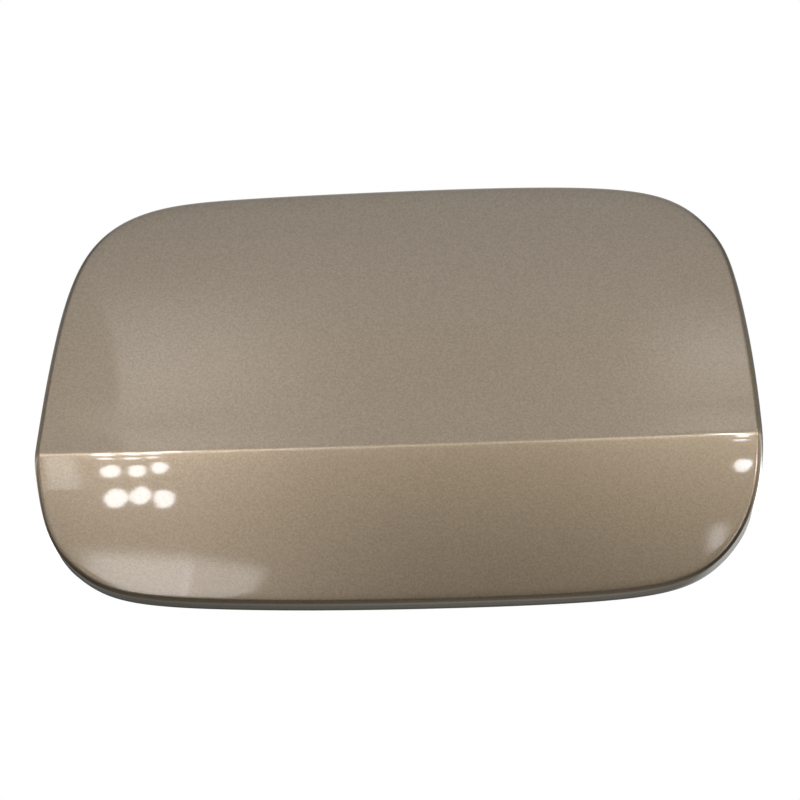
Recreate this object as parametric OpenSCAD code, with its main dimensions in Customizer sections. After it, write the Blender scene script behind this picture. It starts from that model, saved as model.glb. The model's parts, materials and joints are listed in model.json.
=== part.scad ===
// Car fuel door: a pressed and hemmed steel door with its sprung hinge,
// latch catch, buffers and fuel cap holder.
//
// Directions: +X to the right and +Z up as seen from outside the car, +Y into the car.
// Lengths are laid out from the middle of the door's character line, and every piece is
// then shifted so that the origin is the middle of the two hinge bolts, on the seat of
// the hinge bracket.

/* [Door outline] */
// Reach of the character line to the left of the door's middle
reach_left = 97; // [92:0.5:102]
// Reach of the character line to the right of the door's middle
reach_right = 94.5; // [91:0.5:100]
// Height of the outline above the character line
upper_h = 70.5; // [66:0.5:76]
// Height of the outline below the character line
lower_h = 42; // [38:0.5:47]

/* [Face] */
// Radius of the face from side to side
crown_r = 2000; // [1400:50:4000]
// Radius of the bow of the face above the character line
upper_bow_r = 650; // [500:10:1200]
// Radius of the bow of the face below the character line
lower_bow_r = 454; // [400:1:900]
// Slope of the face just above the character line
upper_slope = 0.03; // [0.01:0.005:0.06]
// Slope of the face just below the character line
lower_slope = 0.12; // [0.08:0.005:0.14]
// Depth of the hollow that leads into the line from above
hollow_d = 0.3; // [0.1:0.05:0.5]
// Height over which that hollow fades out
hollow_h = 5; // [3:0.5:8]
// Half width of the rounding along the line's crest
crest_half = 0.4; // [0.2:0.1:0.8]
// Sag of the line at its middle below its two ends
line_sag = 1; // [0:0.1:2]

/* [Edge and hem] */
// Thickness of the skin's sheet
skin_t = 0.8; // [0.7:0.05:0.9]
// Depth of the edge, from the face to the back of the hem
edge_d = 8; // [7.5:0.1:9]
// Outside radius where the face rolls over into the edge
face_edge_r = 1.6; // [1.3:0.1:2.2]
// Outside radius where the edge rolls over into the hem
hem_edge_r = 1.6; // [1.3:0.1:2]
// Flare of the edge away from the face, in degrees
edge_flare = 7; // [3:0.5:9]
// Length of the flat of the hem behind the inner panel
hem_flat = 4.5; // [3:0.5:6]
// Width of the bead of sealer along the hem
sealer_w = 2.2; // [1.6:0.2:3]

/* [Inner panel] */
// Thickness of the inner panel's sheet
inner_t = 0.8; // [0.7:0.05:0.9]
// Depth of the inner panel's floor behind the crest of the line
floor_d = 8; // [7.8:0.1:9]
// Width of the inner panel's rim
rim_w = 9; // [8:0.5:10]
// Run of the wall between rim and floor
wall_run = 4; // [3:0.5:6]
// Height of the beads pressed into the floor
bead_h = 1.6; // [1.2:0.1:2]
// Width of the beads
bead_w = 10; // [8:0.5:12]

/* [Hinge] */
// Hinge pin's distance to the right of the door's middle
pin_x = 70; // [67:0.5:72]
// Hinge pin's distance behind the inner panel's floor
pin_rise = 10.2; // [9.8:0.1:11]
// Height of the hinge's middle above the character line
hinge_z = 8; // [4:0.5:12]
// Radius of the hinge pin
pin_r = 3; // [2.5:0.1:3.2]
// Radial clearance of the pin in its bushes
pin_clearance = 0.05; // [0.03:0.01:0.08]
// Clearance of parts that are pushed together
fit_gap = 0.02; // [0.01:0.01:0.05]
// Thickness of the arm's sheet
arm_t = 2; // [1.6:0.1:2.4]
// Thickness of the bracket's sheet
bracket_t = 2; // [1.6:0.1:2.4]
// Free width between the bracket's ears
ear_gap = 18; // [17:0.5:18.5]
// Radius of the ears and of the arm's knuckles round the pin
knuckle_r = 6; // [5.8:0.1:6.4]
// Height of the pin above the bracket's seat
bracket_h = 19; // [18:0.5:22]
// Length of the arm's pad to the left of the pin
arm_reach = 48; // [46:0.5:52]
// Thickness of the collar of each bush
collar_t = 0.8; // [0.6:0.1:1.2]
// Gap between a bush's collar and the bracket's ear
side_play = 0.15; // [0.1:0.05:0.3]
// Distance between the bracket's two bolt holes
bolt_spacing = 24; // [22:0.5:26]
// Radius of the bracket's bolt holes
bolt_hole_r = 3.3; // [2.8:0.1:3.5]
// Distance from the pin to the nearer bolt hole
bolt_offset = 16; // [15:0.5:18]

/* [Opening spring] */
// Radius of the spring's wire
wire_r = 0.8; // [0.6:0.05:0.9]
// Mean radius of the coil
coil_r = 5.2; // [4.8:0.1:5.4]
// Turns of the coil
coil_turns = 5; // [4:1:6]
// Pitch of the coil
coil_pitch = 1.75; // [1.7:0.05:1.9]

/* [Fixings] */
// Radius of the arm screws' shank
screw_r = 2.45; // [2:0.05:2.5]
// Width across flats of the arm screws' heads and of the weld nuts
screw_flats = 8; // [7.5:0.5:8]
// Height of the arm screws' heads
head_h = 3.2; // [2.5:0.1:3.5]
// Thickness of the washers
washer_t = 1; // [0.8:0.1:1.2]
// Radius of the washers
washer_r = 5; // [4.6:0.1:5.2]
// Thickness of the weld nuts
nut_t = 3.6; // [3:0.1:3.8]
// Length of screw that shows past a weld nut
screw_past = 0.6; // [0.3:0.1:0.8]
// Radius of the small screws' shank
small_screw_r = 1.9; // [1.6:0.05:2]
// Radius of the small screws' heads
small_head_r = 3.6; // [3.2:0.1:3.8]
// Height of the small screws' heads
small_head_h = 2.2; // [1.8:0.1:2.6]

/* [Latch catch] */
// Distance of the catch's blade from the left end of the character line
catch_inset = 23; // [21:0.5:26]
// Reach of the blade behind the floor
catch_reach = 22; // [20:0.5:25]
// Width of the blade
catch_w = 15; // [14:0.5:17]
// Width and height of the window for the latch bolt
catch_window = 8; // [7:0.5:9]
// Thickness of the catch's plastic
catch_t = 2.4; // [2:0.1:2.8]

/* [Buffers] */
// Height of the door buffers behind the floor
buffer_h = 11; // [8:0.5:14]
// Radius of the door buffers' head
buffer_r = 6; // [5:0.5:7]
// Radius of the neck of every buffer
neck_r = 2.6; // [2.2:0.1:3]

/* [Cap holder] */
// Width of the holder
holder_w = 30; // [26:1:34]
// Reach of the holder's shelf behind the floor
holder_reach = 17; // [15:0.5:19]
// Height of the lip at the shelf's end
holder_lip = 9; // [7:0.5:11]
// Thickness of the holder's plastic
holder_t = 2.2; // [1.8:0.1:2.6]
// Width of the slot for the cap's tether
tether_w = 8; // [6:0.5:10]

/* [Hidden] */
$fn = 48;

PAINT = [0.60, 0.55, 0.47];
PAINT_BACK = [0.56, 0.52, 0.45];
BLACK_STEEL = [0.13, 0.13, 0.14];
ZINC = [0.72, 0.72, 0.70];
SPRING_STEEL = [0.45, 0.45, 0.46];
BLACK_PLASTIC = [0.10, 0.10, 0.11];
BLACK_RUBBER = [0.06, 0.06, 0.06];
NATURAL_NYLON = [0.86, 0.84, 0.77];
MASTIC = [0.25, 0.25, 0.27];

// Depths, all measured along Y from the crest of the character line
floor_back = floor_d + inner_t;
pin_y = floor_back + pin_rise;
seat_y = pin_y + bracket_h;
web_y = seat_y - bracket_t;
pad_back = floor_back + arm_t;

// Distance of the catch's blade to the left of the door's middle
catch_x = reach_left - catch_inset;

// Places of the two bolt holes and of the origin between them
near_bolt_x = pin_x - bolt_offset;
bolt_mid_x = near_bolt_x - bolt_spacing / 2;

// Heights along the pin, measured from the hinge's middle
ear_out = ear_gap / 2 + bracket_t;
cheek_in = ear_out + side_play + collar_t;
cheek_out = cheek_in + arm_t;
bush_end = cheek_out + 0.3;
bush_r = pin_r + pin_clearance + 1.4;
bearing_r = pin_r + pin_clearance;

// Turn of the spring from its first foot to its second, and half of its coil's length
leg_turn = 130;
spring_sweep = 360 * coil_turns - (180 - leg_turn);
spring_half = coil_pitch * spring_sweep / 720;

// Number of columns of sheet from the left end of the line to its right end
columns = 60;
// Loop of sections round the whole outline
loop_n = 2 * columns;

// The outline's control points, in per cent of the reach on their side and of the height
UPPER = [
    [-98.5, 13.5], [-95.5, 39], [-88, 83], [-69.5, 98.5], [-45, 100], [-1, 100],
    [43.5, 99.5], [77.5, 96], [89.5, 80], [95, 66.5], [99, 27.5]
];
LOWER = [
    [-98, -49.5], [-88.5, -74.5], [-77, -89], [-47.5, -95], [-8, -99],
    [62.5, -100], [83.5, -89.5], [95.5, -59], [99.5, -26]
];

// Places a control point at its real size
function control(p, h) = [p[0] * (p[0] < 0 ? reach_left : reach_right) / 100, p[1] * h / 100];

// A run of control points between the two ends of the line, with the ends repeated so
// that the curve starts and ends on them
function run(points, h) =
    let(a = [-reach_left, 0], b = [reach_right, 0])
    concat([a, a, a], [for (p = points) control(p, h)], [b, b, b]);

upper_run = run(UPPER, upper_h);
lower_run = run(LOWER, lower_h);

// A point on the uniform cubic B-spline of a run, for s from 0 to 1
function spline(points, s) =
    let(
        spans = len(points) - 3,
        i = min(floor(s * spans), spans - 1),
        t = s * spans - i
    )
    (pow(1 - t, 3) * points[i]
        + (3 * pow(t, 3) - 6 * t * t + 4) * points[i + 1]
        + (-3 * pow(t, 3) + 3 * t * t + 3 * t + 1) * points[i + 2]
        + pow(t, 3) * points[i + 3]) / 6;

// The columns share a run evenly by its length, and crowd a little where it turns: a turn
// of one radian counts as this much length
turn_length = 12;
fine_steps = 240;
function unit(v) = v / norm(v);
function step_measure(p, i) =
    i + 1 >= len(p) ? 0
        : norm(p[i + 1] - p[i]) + (i == 0 ? 0 : turn_length * norm(unit(p[i + 1] - p[i]) - unit(p[i] - p[i - 1])));
function measures(p) = [for (i = 0, s = 0; i < len(p); s = s + step_measure(p, i), i = i + 1) s];
function shared_points(points) =
    let(
        fine = [for (i = [0:fine_steps]) spline(points, i / fine_steps)],
        m = measures(fine),
        back = [for (i = [0:fine_steps]) [m[i], i / fine_steps]]
    )
    [for (i = [0:columns]) spline(points, lookup(m[fine_steps] * i / columns, back))];

// The outline as a closed loop: over the top from left to right, then back underneath
upper_points = shared_points(upper_run);
lower_points = shared_points(lower_run);
OUTLINE = [for (k = [0:loop_n - 1]) k <= columns ? upper_points[k] : lower_points[loop_n - k]];

// Outward direction of the outline at a section, in the door's plane
function outward(k) =
    let(
        d = OUTLINE[(k + 1) % loop_n] - OUTLINE[(k + loop_n - 1) % loop_n],
        u = d / norm(d)
    )
    [-u[1], u[0]];

// Height of the character line at x: its ends are at zero
function line_z(x) = let(s = x / (x < 0 ? reach_left : reach_right)) -line_sag * (1 - s * s);

// Depth of the face above and below the line, at a distance d from it
function depth_above(d) = upper_slope * d + d * d / (2 * upper_bow_r) + hollow_d * (1 - exp(-d / hollow_h));
function depth_below(d) = lower_slope * d + d * d / (2 * lower_bow_r);

// Depth of the face at a point of the door's plane
function face_y(x, z) =
    let(
        h = z - line_z(x),
        d = sqrt(h * h + crest_half * crest_half) - crest_half
    )
    x * x / (2 * crown_r) + (h >= 0 ? depth_above(d) : depth_below(d));

// A section through the edge at k: [outline point, outward direction, depth, roll start angle]
function section(k) =
    let(
        e = OUTLINE[k],
        n = outward(k),
        y = face_y(e[0], e[1]),
        inside = e - n,
        slope = y - face_y(inside[0], inside[1])
    )
    [e, n, y, atan(slope)];

SECTIONS = [for (k = [0:loop_n - 1]) section(k)];

// A point of a section: a is the distance outward from the outline, y the depth
function at(s, a, y) = let(p = s[0] + s[1] * a) [p[0], y, p[1]];

// The face ends and the roll starts here, as [distance outward, depth]
function roll_start(s) =
    let(a = -face_edge_r * (cos(edge_flare) - sin(s[3])), p = s[0] + s[1] * a)
    [a, face_y(p[0], p[1])];

// A point of the roll from the face into the edge, at radius r and turn angle w
function roll_point(s, r, w) =
    let(f = roll_start(s))
    at(s, f[0] - face_edge_r * sin(s[3]) + r * sin(w), f[1] + face_edge_r * cos(s[3]) - r * cos(w));

// The centre of the roll from the edge into the hem, as [distance outward, depth]
function hem_centre(s) =
    let(
        y = s[2] + edge_d - hem_edge_r,
        roll_y = roll_start(s)[1] + face_edge_r * (cos(s[3]) - sin(edge_flare)),
        a = tan(edge_flare) * (y - hem_edge_r * sin(edge_flare) - roll_y)
    )
    [a - hem_edge_r * cos(edge_flare), y];

// A point of the hem's roll, at radius r and turn angle w
function hem_point(s, r, w) =
    let(c = hem_centre(s))
    at(s, c[0] + r * cos(w), c[1] + r * sin(w));

// Rows of the face between the line and the roll: near the line they keep a fixed
// distance from it, and further out they share the height
ROW_DISTANCE = [0.5, 1.4, 3.2, 7, 14, 26, 200, 200];
ROW_SHARE = [0.04, 0.1, 0.19, 0.3, 0.44, 0.62, 0.81, 1];
face_rows = len(ROW_SHARE);

// Distance outward of the roll's start on section k, as a point of the door's plane
function face_end(k) = let(s = SECTIONS[k]) s[0] + s[1] * roll_start(s)[0];

// A point of the line between its two ends
function line_point(i) =
    let(a = face_end(i), b = face_end((loop_n - i) % loop_n), x = (a[0] + b[0]) / 2)
    i == 0 || i == columns ? a : [x, line_z(x)];

LINE = [for (i = [0:columns]) line_point(i)];
function column_of(k) = k <= columns ? k : loop_n - k;

// A face point of section k on row j, at an extra depth
function face_point(k, j, extra) =
    let(
        foot = LINE[column_of(k)],
        top = face_end(k),
        h = max(abs(top[1] - foot[1]), 0.001),
        v = min(ROW_DISTANCE[j] / h, ROW_SHARE[j]),
        p = foot + (top - foot) * v
    )
    [p[0], face_y(p[0], p[1]) + extra, p[1]];

ROLL_STEPS = 3;
HEM_STEPS = 3;

// The skin's section, out along the outside or back along the inside of the sheet
function skin_ring_point(k, r, inside) =
    let(
        s = SECTIONS[k],
        t = inside ? skin_t : 0,
        q = r - face_rows,
        w0 = s[3],
        w1 = 90 - edge_flare
    )
    r < face_rows ? face_point(k, r, t)
        : q <= ROLL_STEPS - 1 ? roll_point(s, face_edge_r - t, w0 + (w1 - w0) * (q + 1) / ROLL_STEPS)
        : q <= ROLL_STEPS + HEM_STEPS ? hem_point(s, hem_edge_r - t,
            -edge_flare + (90 + edge_flare) * (q - ROLL_STEPS) / HEM_STEPS)
        : let(c = hem_centre(s)) at(s, c[0] - hem_flat, c[1] + hem_edge_r - t);

skin_rings = face_rows + ROLL_STEPS + HEM_STEPS + 2;

// Triangles of a quad, without those that have no area because corners are shared
function triangle(a, b, c) = (a == b || b == c || a == c) ? [] : [[a, b, c]];
function quad(a, b, c, d) = concat(triangle(a, b, c), triangle(a, c, d));

// The closed skin: two sheets of rings that meet along the line and at the hem's end
module skin_solid() {
    side = columns + 1 + skin_rings * loop_n;
    points = [
        for (inside = [false, true]) each concat(
            [for (p = LINE) [p[0], face_y(p[0], p[1]) + (inside ? skin_t : 0), p[1]]],
            [for (r = [0:skin_rings - 1]) for (k = [0:loop_n - 1]) skin_ring_point(k, r, inside)]
        )
    ];
    // Number of a point: at the two ends of the line the face rows shrink to one point
    function number(r, k, o) =
        let(i = k % loop_n)
        (r < 0 || (r < face_rows && (i == 0 || i == columns))) ? o + column_of(i)
            : o + columns + 1 + r * loop_n + i;
    faces = [
        for (k = [0:loop_n - 1]) for (r = [-1:skin_rings - 2]) each concat(
            quad(number(r, k, 0), number(r + 1, k, 0), number(r + 1, k + 1, 0), number(r, k + 1, 0)),
            quad(number(r, k, side), number(r, k + 1, side), number(r + 1, k + 1, side), number(r + 1, k, side))
        ),
        for (k = [0:loop_n - 1]) each quad(
            number(skin_rings - 1, k, 0), number(skin_rings - 1, k, side),
            number(skin_rings - 1, k + 1, side), number(skin_rings - 1, k + 1, 0))
    ];
    polyhedron(points, faces, convexity = 6);
}

// A closed ring of any section round the outline: rows holds one list of points per row,
// in the order that goes round the section from its innermost row over the front
module ring_solid(rows) {
    n = len(rows);
    faces = [
        for (r = [0:n - 1]) for (k = [0:loop_n - 1])
            each quad(r * loop_n + k, ((r + 1) % n) * loop_n + k,
                ((r + 1) % n) * loop_n + (k + 1) % loop_n, r * loop_n + (k + 1) % loop_n)
    ];
    polyhedron([for (row = rows) each row], faces, convexity = 6);
}

// Places of the inner panel's section, as distances outward and depths
lap_gap = 0.05;
function rim_out(s) = hem_centre(s)[0];
function rim_back(s) = s[2] + edge_d - skin_t - lap_gap;
function rim_in(s) = rim_out(s) - rim_w;
function wall_in(s) = rim_in(s) - wall_run;

// The inner pan: a flat floor, a sloping wall and a rim that lies under the hem
module pan_solid() {
    soft = 0.6;
    back = [
        [for (s = SECTIONS) at(s, rim_out(s), rim_back(s))],
        [for (s = SECTIONS) at(s, rim_in(s) + soft, rim_back(s))],
        [for (s = SECTIONS) at(s, rim_in(s) - soft, rim_back(s) + (floor_back - rim_back(s)) * 0.15)],
        [for (s = SECTIONS) at(s, wall_in(s) + soft, floor_back + (rim_back(s) - floor_back) * 0.15)],
        [for (s = SECTIONS) at(s, wall_in(s) - soft, floor_back)]
    ];
    front = [for (row = back) [for (p = row) [p[0], p[1] - inner_t, p[2]]]];
    n = len(back);
    points = concat([for (row = back) each row], [for (row = front) each row]);
    side = n * loop_n;
    faces = concat(
        [[for (k = [0:loop_n - 1]) side + (n - 1) * loop_n + k]],
        [[for (k = [loop_n - 1:-1:0]) (n - 1) * loop_n + k]],
        [for (r = [n - 2:-1:0]) for (k = [0:loop_n - 1]) each concat(
            quad(side + r * loop_n + k, side + r * loop_n + (k + 1) % loop_n,
                side + (r + 1) * loop_n + (k + 1) % loop_n, side + (r + 1) * loop_n + k),
            quad(r * loop_n + (k + 1) % loop_n, r * loop_n + k,
                (r + 1) * loop_n + k, (r + 1) * loop_n + (k + 1) % loop_n))],
        [for (k = [0:loop_n - 1]) each quad(k, (k + 1) % loop_n, side + (k + 1) % loop_n, side + k)]
    );
    polyhedron(points, faces, convexity = 6);
}

// Ways to raise a flat shape along X, Y or Z
module along_x(x0, h) { translate([x0, 0, 0]) rotate([90, 0, 90]) linear_extrude(h) children(); }
module along_y(y0, h) { translate([0, y0 + h, 0]) rotate([90, 0, 0]) linear_extrude(h) children(); }
module along_z(z0, h) { translate([0, 0, z0]) linear_extrude(h) children(); }

// A round bar along Y from y0, at x and z
module bar_y(x, y0, z, r, h) { translate([x, y0, z]) rotate([-90, 0, 0]) cylinder(r = r, h = h); }

// A flat shape with round corners, from one corner to the other
module rounded(x0, y0, x1, y1, r) {
    translate([x0 + r, y0]) square([x1 - x0 - 2 * r, y1 - y0]);
    translate([x0, y0 + r]) square([x1 - x0, y1 - y0 - 2 * r]);
    for (x = [x0 + r, x1 - r]) for (y = [y0 + r, y1 - r]) translate([x, y]) circle(r);
}

// A long flat shape with round ends, between two points
module stadium(a, b, r) {
    d = b - a;
    translate(a) rotate(atan2(d[1], d[0])) translate([0, -r]) square([norm(d), 2 * r]);
    translate(a) circle(r);
    translate(b) circle(r);
}

// Everything in the door is laid out from the line's middle and shown from the bolt seat
module in_frame() { translate([-bolt_mid_x, -seat_y, -hinge_z]) children(); }

/* Places on the inner panel's floor, as [x, z] from the middle of the line */
pad_left = pin_x - arm_reach;
arm_bend = 1.2;
screw_left_x = pad_left + 0.15 * arm_reach;
screw_right_x = pad_left + 0.44 * arm_reach;
// Two screws stand just inside the bends of the cheeks, and the third beside the spring's foot
washer_gap = 0.15;
screw_rise = cheek_in - arm_bend - washer_r - washer_gap;
foot_screw_rise = min(0, spring_half - wire_r - washer_r - 3 * washer_gap);
ARM_SCREWS = [
    [screw_left_x, hinge_z - screw_rise], [screw_left_x, hinge_z + screw_rise],
    [screw_right_x, hinge_z + foot_screw_rise]
];
catch_screw_reach = catch_w / 2 + 4.6;
catch_screw_x = -catch_x + 8;
CATCH_SCREWS = [for (side = [-1, 1]) [catch_screw_x, hinge_z + side * catch_screw_reach]];
UPPER_BUFFER = [-0.62 * reach_left, 0.68 * upper_h];
LOWER_BUFFER = [-0.52 * reach_left, -0.4 * lower_h];
HINGE_SIDE_BUFFER = [0.66 * reach_right, 0.66 * upper_h];
BUFFERS = [UPPER_BUFFER, LOWER_BUFFER, HINGE_SIDE_BUFFER];
holder_x = -18;
holder_z = hinge_z - 3;
rivet_spacing = 18;
rivet_z = holder_z + 14;
RIVETS = [for (side = [-1, 1]) [holder_x + side * rivet_spacing / 2, rivet_z]];
rivet_r = 2.4;
drain_r = 3.5;
DRAINS = [[-0.35 * reach_left, -0.5 * lower_h], [0.25 * reach_right, -0.5 * lower_h]];
gauge_r = 3;
GAUGES = [[-0.41 * reach_left, 0.74 * upper_h], [0.465 * reach_right, 0.74 * upper_h]];
BEADS = [
    [[-0.35 * reach_left, 0.52 * upper_h], [0.4 * reach_right, 0.52 * upper_h]],
    [[-0.37 * reach_left, -0.2 * lower_h], [0.085 * reach_right, -0.2 * lower_h]]
];

module outer_panel() color(PAINT) skin_solid();

// The pressed inner panel, with its beads, screw holes, drains and gauge holes
module inner_panel() color(PAINT_BACK) difference() {
    union() {
        pan_solid();
        for (b = BEADS) along_y(floor_back - bead_h - inner_t, bead_h + inner_t / 2)
            stadium(b[0], b[1], bead_w / 2);
    }
    for (b = BEADS) along_y(floor_back - bead_h, bead_h + 1) stadium(b[0], b[1], bead_w / 2 - inner_t);
    for (p = ARM_SCREWS) floor_hole(p, screw_r + 0.3);
    for (p = CATCH_SCREWS) floor_hole(p, small_screw_r + fit_gap);
    for (p = BUFFERS) floor_hole(p, neck_r + fit_gap);
    for (p = RIVETS) floor_hole(p, rivet_r + fit_gap);
    for (p = DRAINS) floor_hole(p, drain_r);
    for (p = GAUGES) floor_hole(p, gauge_r);
}
module floor_hole(p, r) { bar_y(p[0], floor_d - 1, p[1], r, inner_t + 2); }

// Soft mastic between the skin and the inner panel, so that the skin doesn't drum
mastic_r = 5.5;
mastic_gap = 0.1;
MASTIC_PADS = [
    [-0.515 * reach_left, 0.3 * upper_h], [0, 0.8 * upper_h], [0.06 * reach_right, 0.3 * upper_h],
    [-0.05 * reach_left, -0.46 * lower_h], [0.48 * reach_right, -0.36 * lower_h]
];
mastic_sides = 20;
// A point at radius r and angle w round p, on the back of the skin
function skin_back(p, r, w) =
    let(x = p[0] + r * cos(w), z = p[1] + r * sin(w)) [x, face_y(x, z) + skin_t + mastic_gap, z];
module mastic_pads() color(MASTIC) for (p = MASTIC_PADS) {
    turns = [for (i = [0:mastic_sides - 1]) 360 * i / mastic_sides];
    n = mastic_sides;
    points = concat(
        [skin_back(p, 0, 0)],
        [for (w = turns) skin_back(p, mastic_r * 0.6, w)],
        [for (w = turns) skin_back(p, mastic_r, w)],
        [for (w = turns) [p[0] + mastic_r * cos(w), floor_d, p[1] + mastic_r * sin(w)]]
    );
    faces = [
        for (i = [0:n - 1]) let(a = 1 + i, b = 1 + (i + 1) % n) each concat(
            [[0, a, b]], quad(a, a + n, b + n, b), quad(a + n, a + 2 * n, b + 2 * n, b + n)),
        [for (i = [n - 1:-1:0]) 1 + 2 * n + i]
    ];
    polyhedron(points, faces, convexity = 2);
}

// The bead of sealer that covers the hem's cut edge
function edge_a(s) = hem_centre(s)[0] - hem_flat;
module hem_sealer() color(PAINT_BACK) {
    low = lap_gap / 2;
    ring_solid([
        [for (s = SECTIONS) at(s, edge_a(s) - sealer_w, rim_back(s) + low)],
        [for (s = SECTIONS) at(s, edge_a(s) - low, rim_back(s) + low)],
        [for (s = SECTIONS) at(s, edge_a(s) - low, rim_back(s) + skin_t)],
        [for (s = SECTIONS) at(s, edge_a(s) - sealer_w * 0.55, rim_back(s) + skin_t * 0.75)]
    ]);
}

// Round a flat profile's knuckle: a disc at the pin with a web to two points of the sheet
module knuckle_profile(foot) {
    translate([pin_x, pin_y]) circle(knuckle_r);
    polygon(foot);
}

// A channel's section across Y and Z: the web lies on the low side of Y when up is 1
module channel(y0, y1, half, t, inside_r, up) {
    outside_r = inside_r + t;
    difference() {
        union() {
            translate([y0, -half + outside_r]) square([y1 - y0, 2 * (half - outside_r)]);
            translate([up > 0 ? y0 + outside_r : y0, -half]) square([y1 - y0 - outside_r, 2 * half]);
            for (s = [-1, 1])
                translate([up > 0 ? y0 + outside_r : y1 - outside_r, s * (half - outside_r)]) circle(outside_r);
        }
        translate([up > 0 ? y0 + t : y0 - 1, -half + t + inside_r])
            square([y1 - y0 - t + 1, 2 * (half - t - inside_r)]);
        translate([up > 0 ? y0 + t + inside_r : y0 - 1, -half + t])
            square([y1 - y0 - t - inside_r + 1, 2 * (half - t)]);
        for (s = [-1, 1])
            translate([up > 0 ? y0 + t + inside_r : y1 - t - inside_r, s * (half - t - inside_r)]) circle(inside_r);
    }
}

// The arm: a pressed channel whose pad lies on the inner panel and whose two cheeks
// curve back to the pin
module hinge_arm() color(BLACK_STEEL) difference() {
    intersection() {
        translate([0, 0, hinge_z]) along_x(pad_left, arm_reach + 2 * knuckle_r)
            channel(floor_back, pin_y + 2 * knuckle_r, cheek_out, arm_t, arm_bend, 1);
        along_z(hinge_z - cheek_out, 2 * cheek_out) arm_side();
        arm_plan();
    }
    for (p = ARM_SCREWS) bar_y(p[0], floor_back - 1, p[1], screw_r + 0.3, arm_t + 2);
    translate([pin_x, pin_y, hinge_z - cheek_out - 1]) cylinder(r = bush_r + fit_gap, h = 2 * cheek_out + 2);
}

// The arm seen from above: a thin tongue, then cheeks that rise to the knuckle with a
// neck hollowed out behind the pad
module arm_side() {
    pad_end = pin_x - 4;
    shoulder_x = pad_left + 6;
    difference() {
        union() {
            translate([pad_left, floor_back]) square([pad_end - pad_left, arm_t + 1.4]);
            translate([pin_x, pin_y]) circle(knuckle_r);
            polygon([
                [shoulder_x, floor_back], [pad_end, floor_back], [pin_x + knuckle_r * cos(-25), pin_y + knuckle_r * sin(-25)],
                [pin_x, pin_y], [pin_x + knuckle_r * cos(115), pin_y + knuckle_r * sin(115)],
                [pin_x - 22, pad_back + 7], [shoulder_x, pad_back + 1.4]
            ]);
        }
        translate([pin_x - 25, pad_back + 26]) circle(19.4);
    }
}

// The arm's outline from behind, with round corners at the free end of its pad
module arm_plan() {
    along_y(floor_back - 1, pin_rise + 3 * knuckle_r) union() {
        translate([pad_left + 6, hinge_z - cheek_out]) square([arm_reach + 2 * knuckle_r, 2 * cheek_out]);
        rounded(pad_left, hinge_z - cheek_out, pad_left + 20, hinge_z + cheek_out, 5);
    }
}

// Six-sided heads and nuts, with their flats towards X
module hexagon(flats) { circle(r = flats / 2 / cos(30), $fn = 6); }

module arm_screws() color(ZINC) for (p = ARM_SCREWS) {
    under_head = pad_back + washer_t;
    shank = washer_t + arm_t + inner_t + nut_t + screw_past;
    bar_y(p[0], under_head - shank, p[1], screw_r, shank);
    translate([p[0], 0, p[1]]) along_y(under_head, head_h) hexagon(screw_flats);
}

module arm_washers() color(ZINC) for (p = ARM_SCREWS) difference() {
    bar_y(p[0], pad_back, p[1], washer_r, washer_t);
    bar_y(p[0], pad_back - 1, p[1], screw_r + 0.2, washer_t + 2);
}

module weld_nuts() color(ZINC) for (p = ARM_SCREWS) difference() {
    translate([p[0], 0, p[1]]) along_y(floor_d - nut_t, nut_t) hexagon(screw_flats);
    bar_y(p[0], floor_d - nut_t - 1, p[1], screw_r + fit_gap, nut_t + 2);
}

// The bracket: a channel that is bolted to the car, with two ears for the pin and a tab
// for the opening stop
bracket_bend = 1.2;
bracket_left = near_bolt_x - bolt_spacing - 9;
tab_x = pin_x + 2;
tab_half = 7;
stop_y = seat_y - 5.6;
module hinge_bracket() color(BLACK_STEEL) difference() {
    union() {
        intersection() {
            translate([0, 0, hinge_z]) along_x(bracket_left, tab_x - bracket_left + 2 * knuckle_r)
                channel(pin_y - 2 * knuckle_r, seat_y, ear_out, bracket_t, bracket_bend, -1);
            along_z(hinge_z - ear_out, 2 * ear_out) bracket_side();
        }
        along_x(tab_x - bracket_t, bracket_t) translate([0, hinge_z - tab_half])
            rounded(stop_y - 5, 0, web_y + bracket_t / 2, 2 * tab_half, 0.8);
    }
    for (x = [near_bolt_x, near_bolt_x - bolt_spacing]) bar_y(x, web_y - 1, hinge_z, bolt_hole_r, bracket_t + 2);
    translate([pin_x, pin_y, hinge_z - ear_out - 1]) cylinder(r = pin_r + fit_gap, h = 2 * ear_out + 2);
    translate([tab_x - bracket_t - 1, stop_y, hinge_z]) rotate([0, 90, 0])
        cylinder(r = neck_r + fit_gap, h = bracket_t + 2);
}

// The bracket seen from above: low flanges beside the bolts that rise to the ears
module bracket_side() {
    flange_y = seat_y - 7;
    difference() {
        union() {
            translate([bracket_left, flange_y]) square([tab_x - bracket_left, seat_y - flange_y]);
            translate([pin_x, pin_y]) circle(knuckle_r);
            polygon([
                [pin_x - 20, flange_y + 1], [pin_x - knuckle_r, pin_y], [pin_x + knuckle_r, pin_y],
                [tab_x, flange_y + 1]
            ]);
        }
        translate([bracket_left, flange_y]) rotate(45) square([6, 6], center = true);
    }
}

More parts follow.
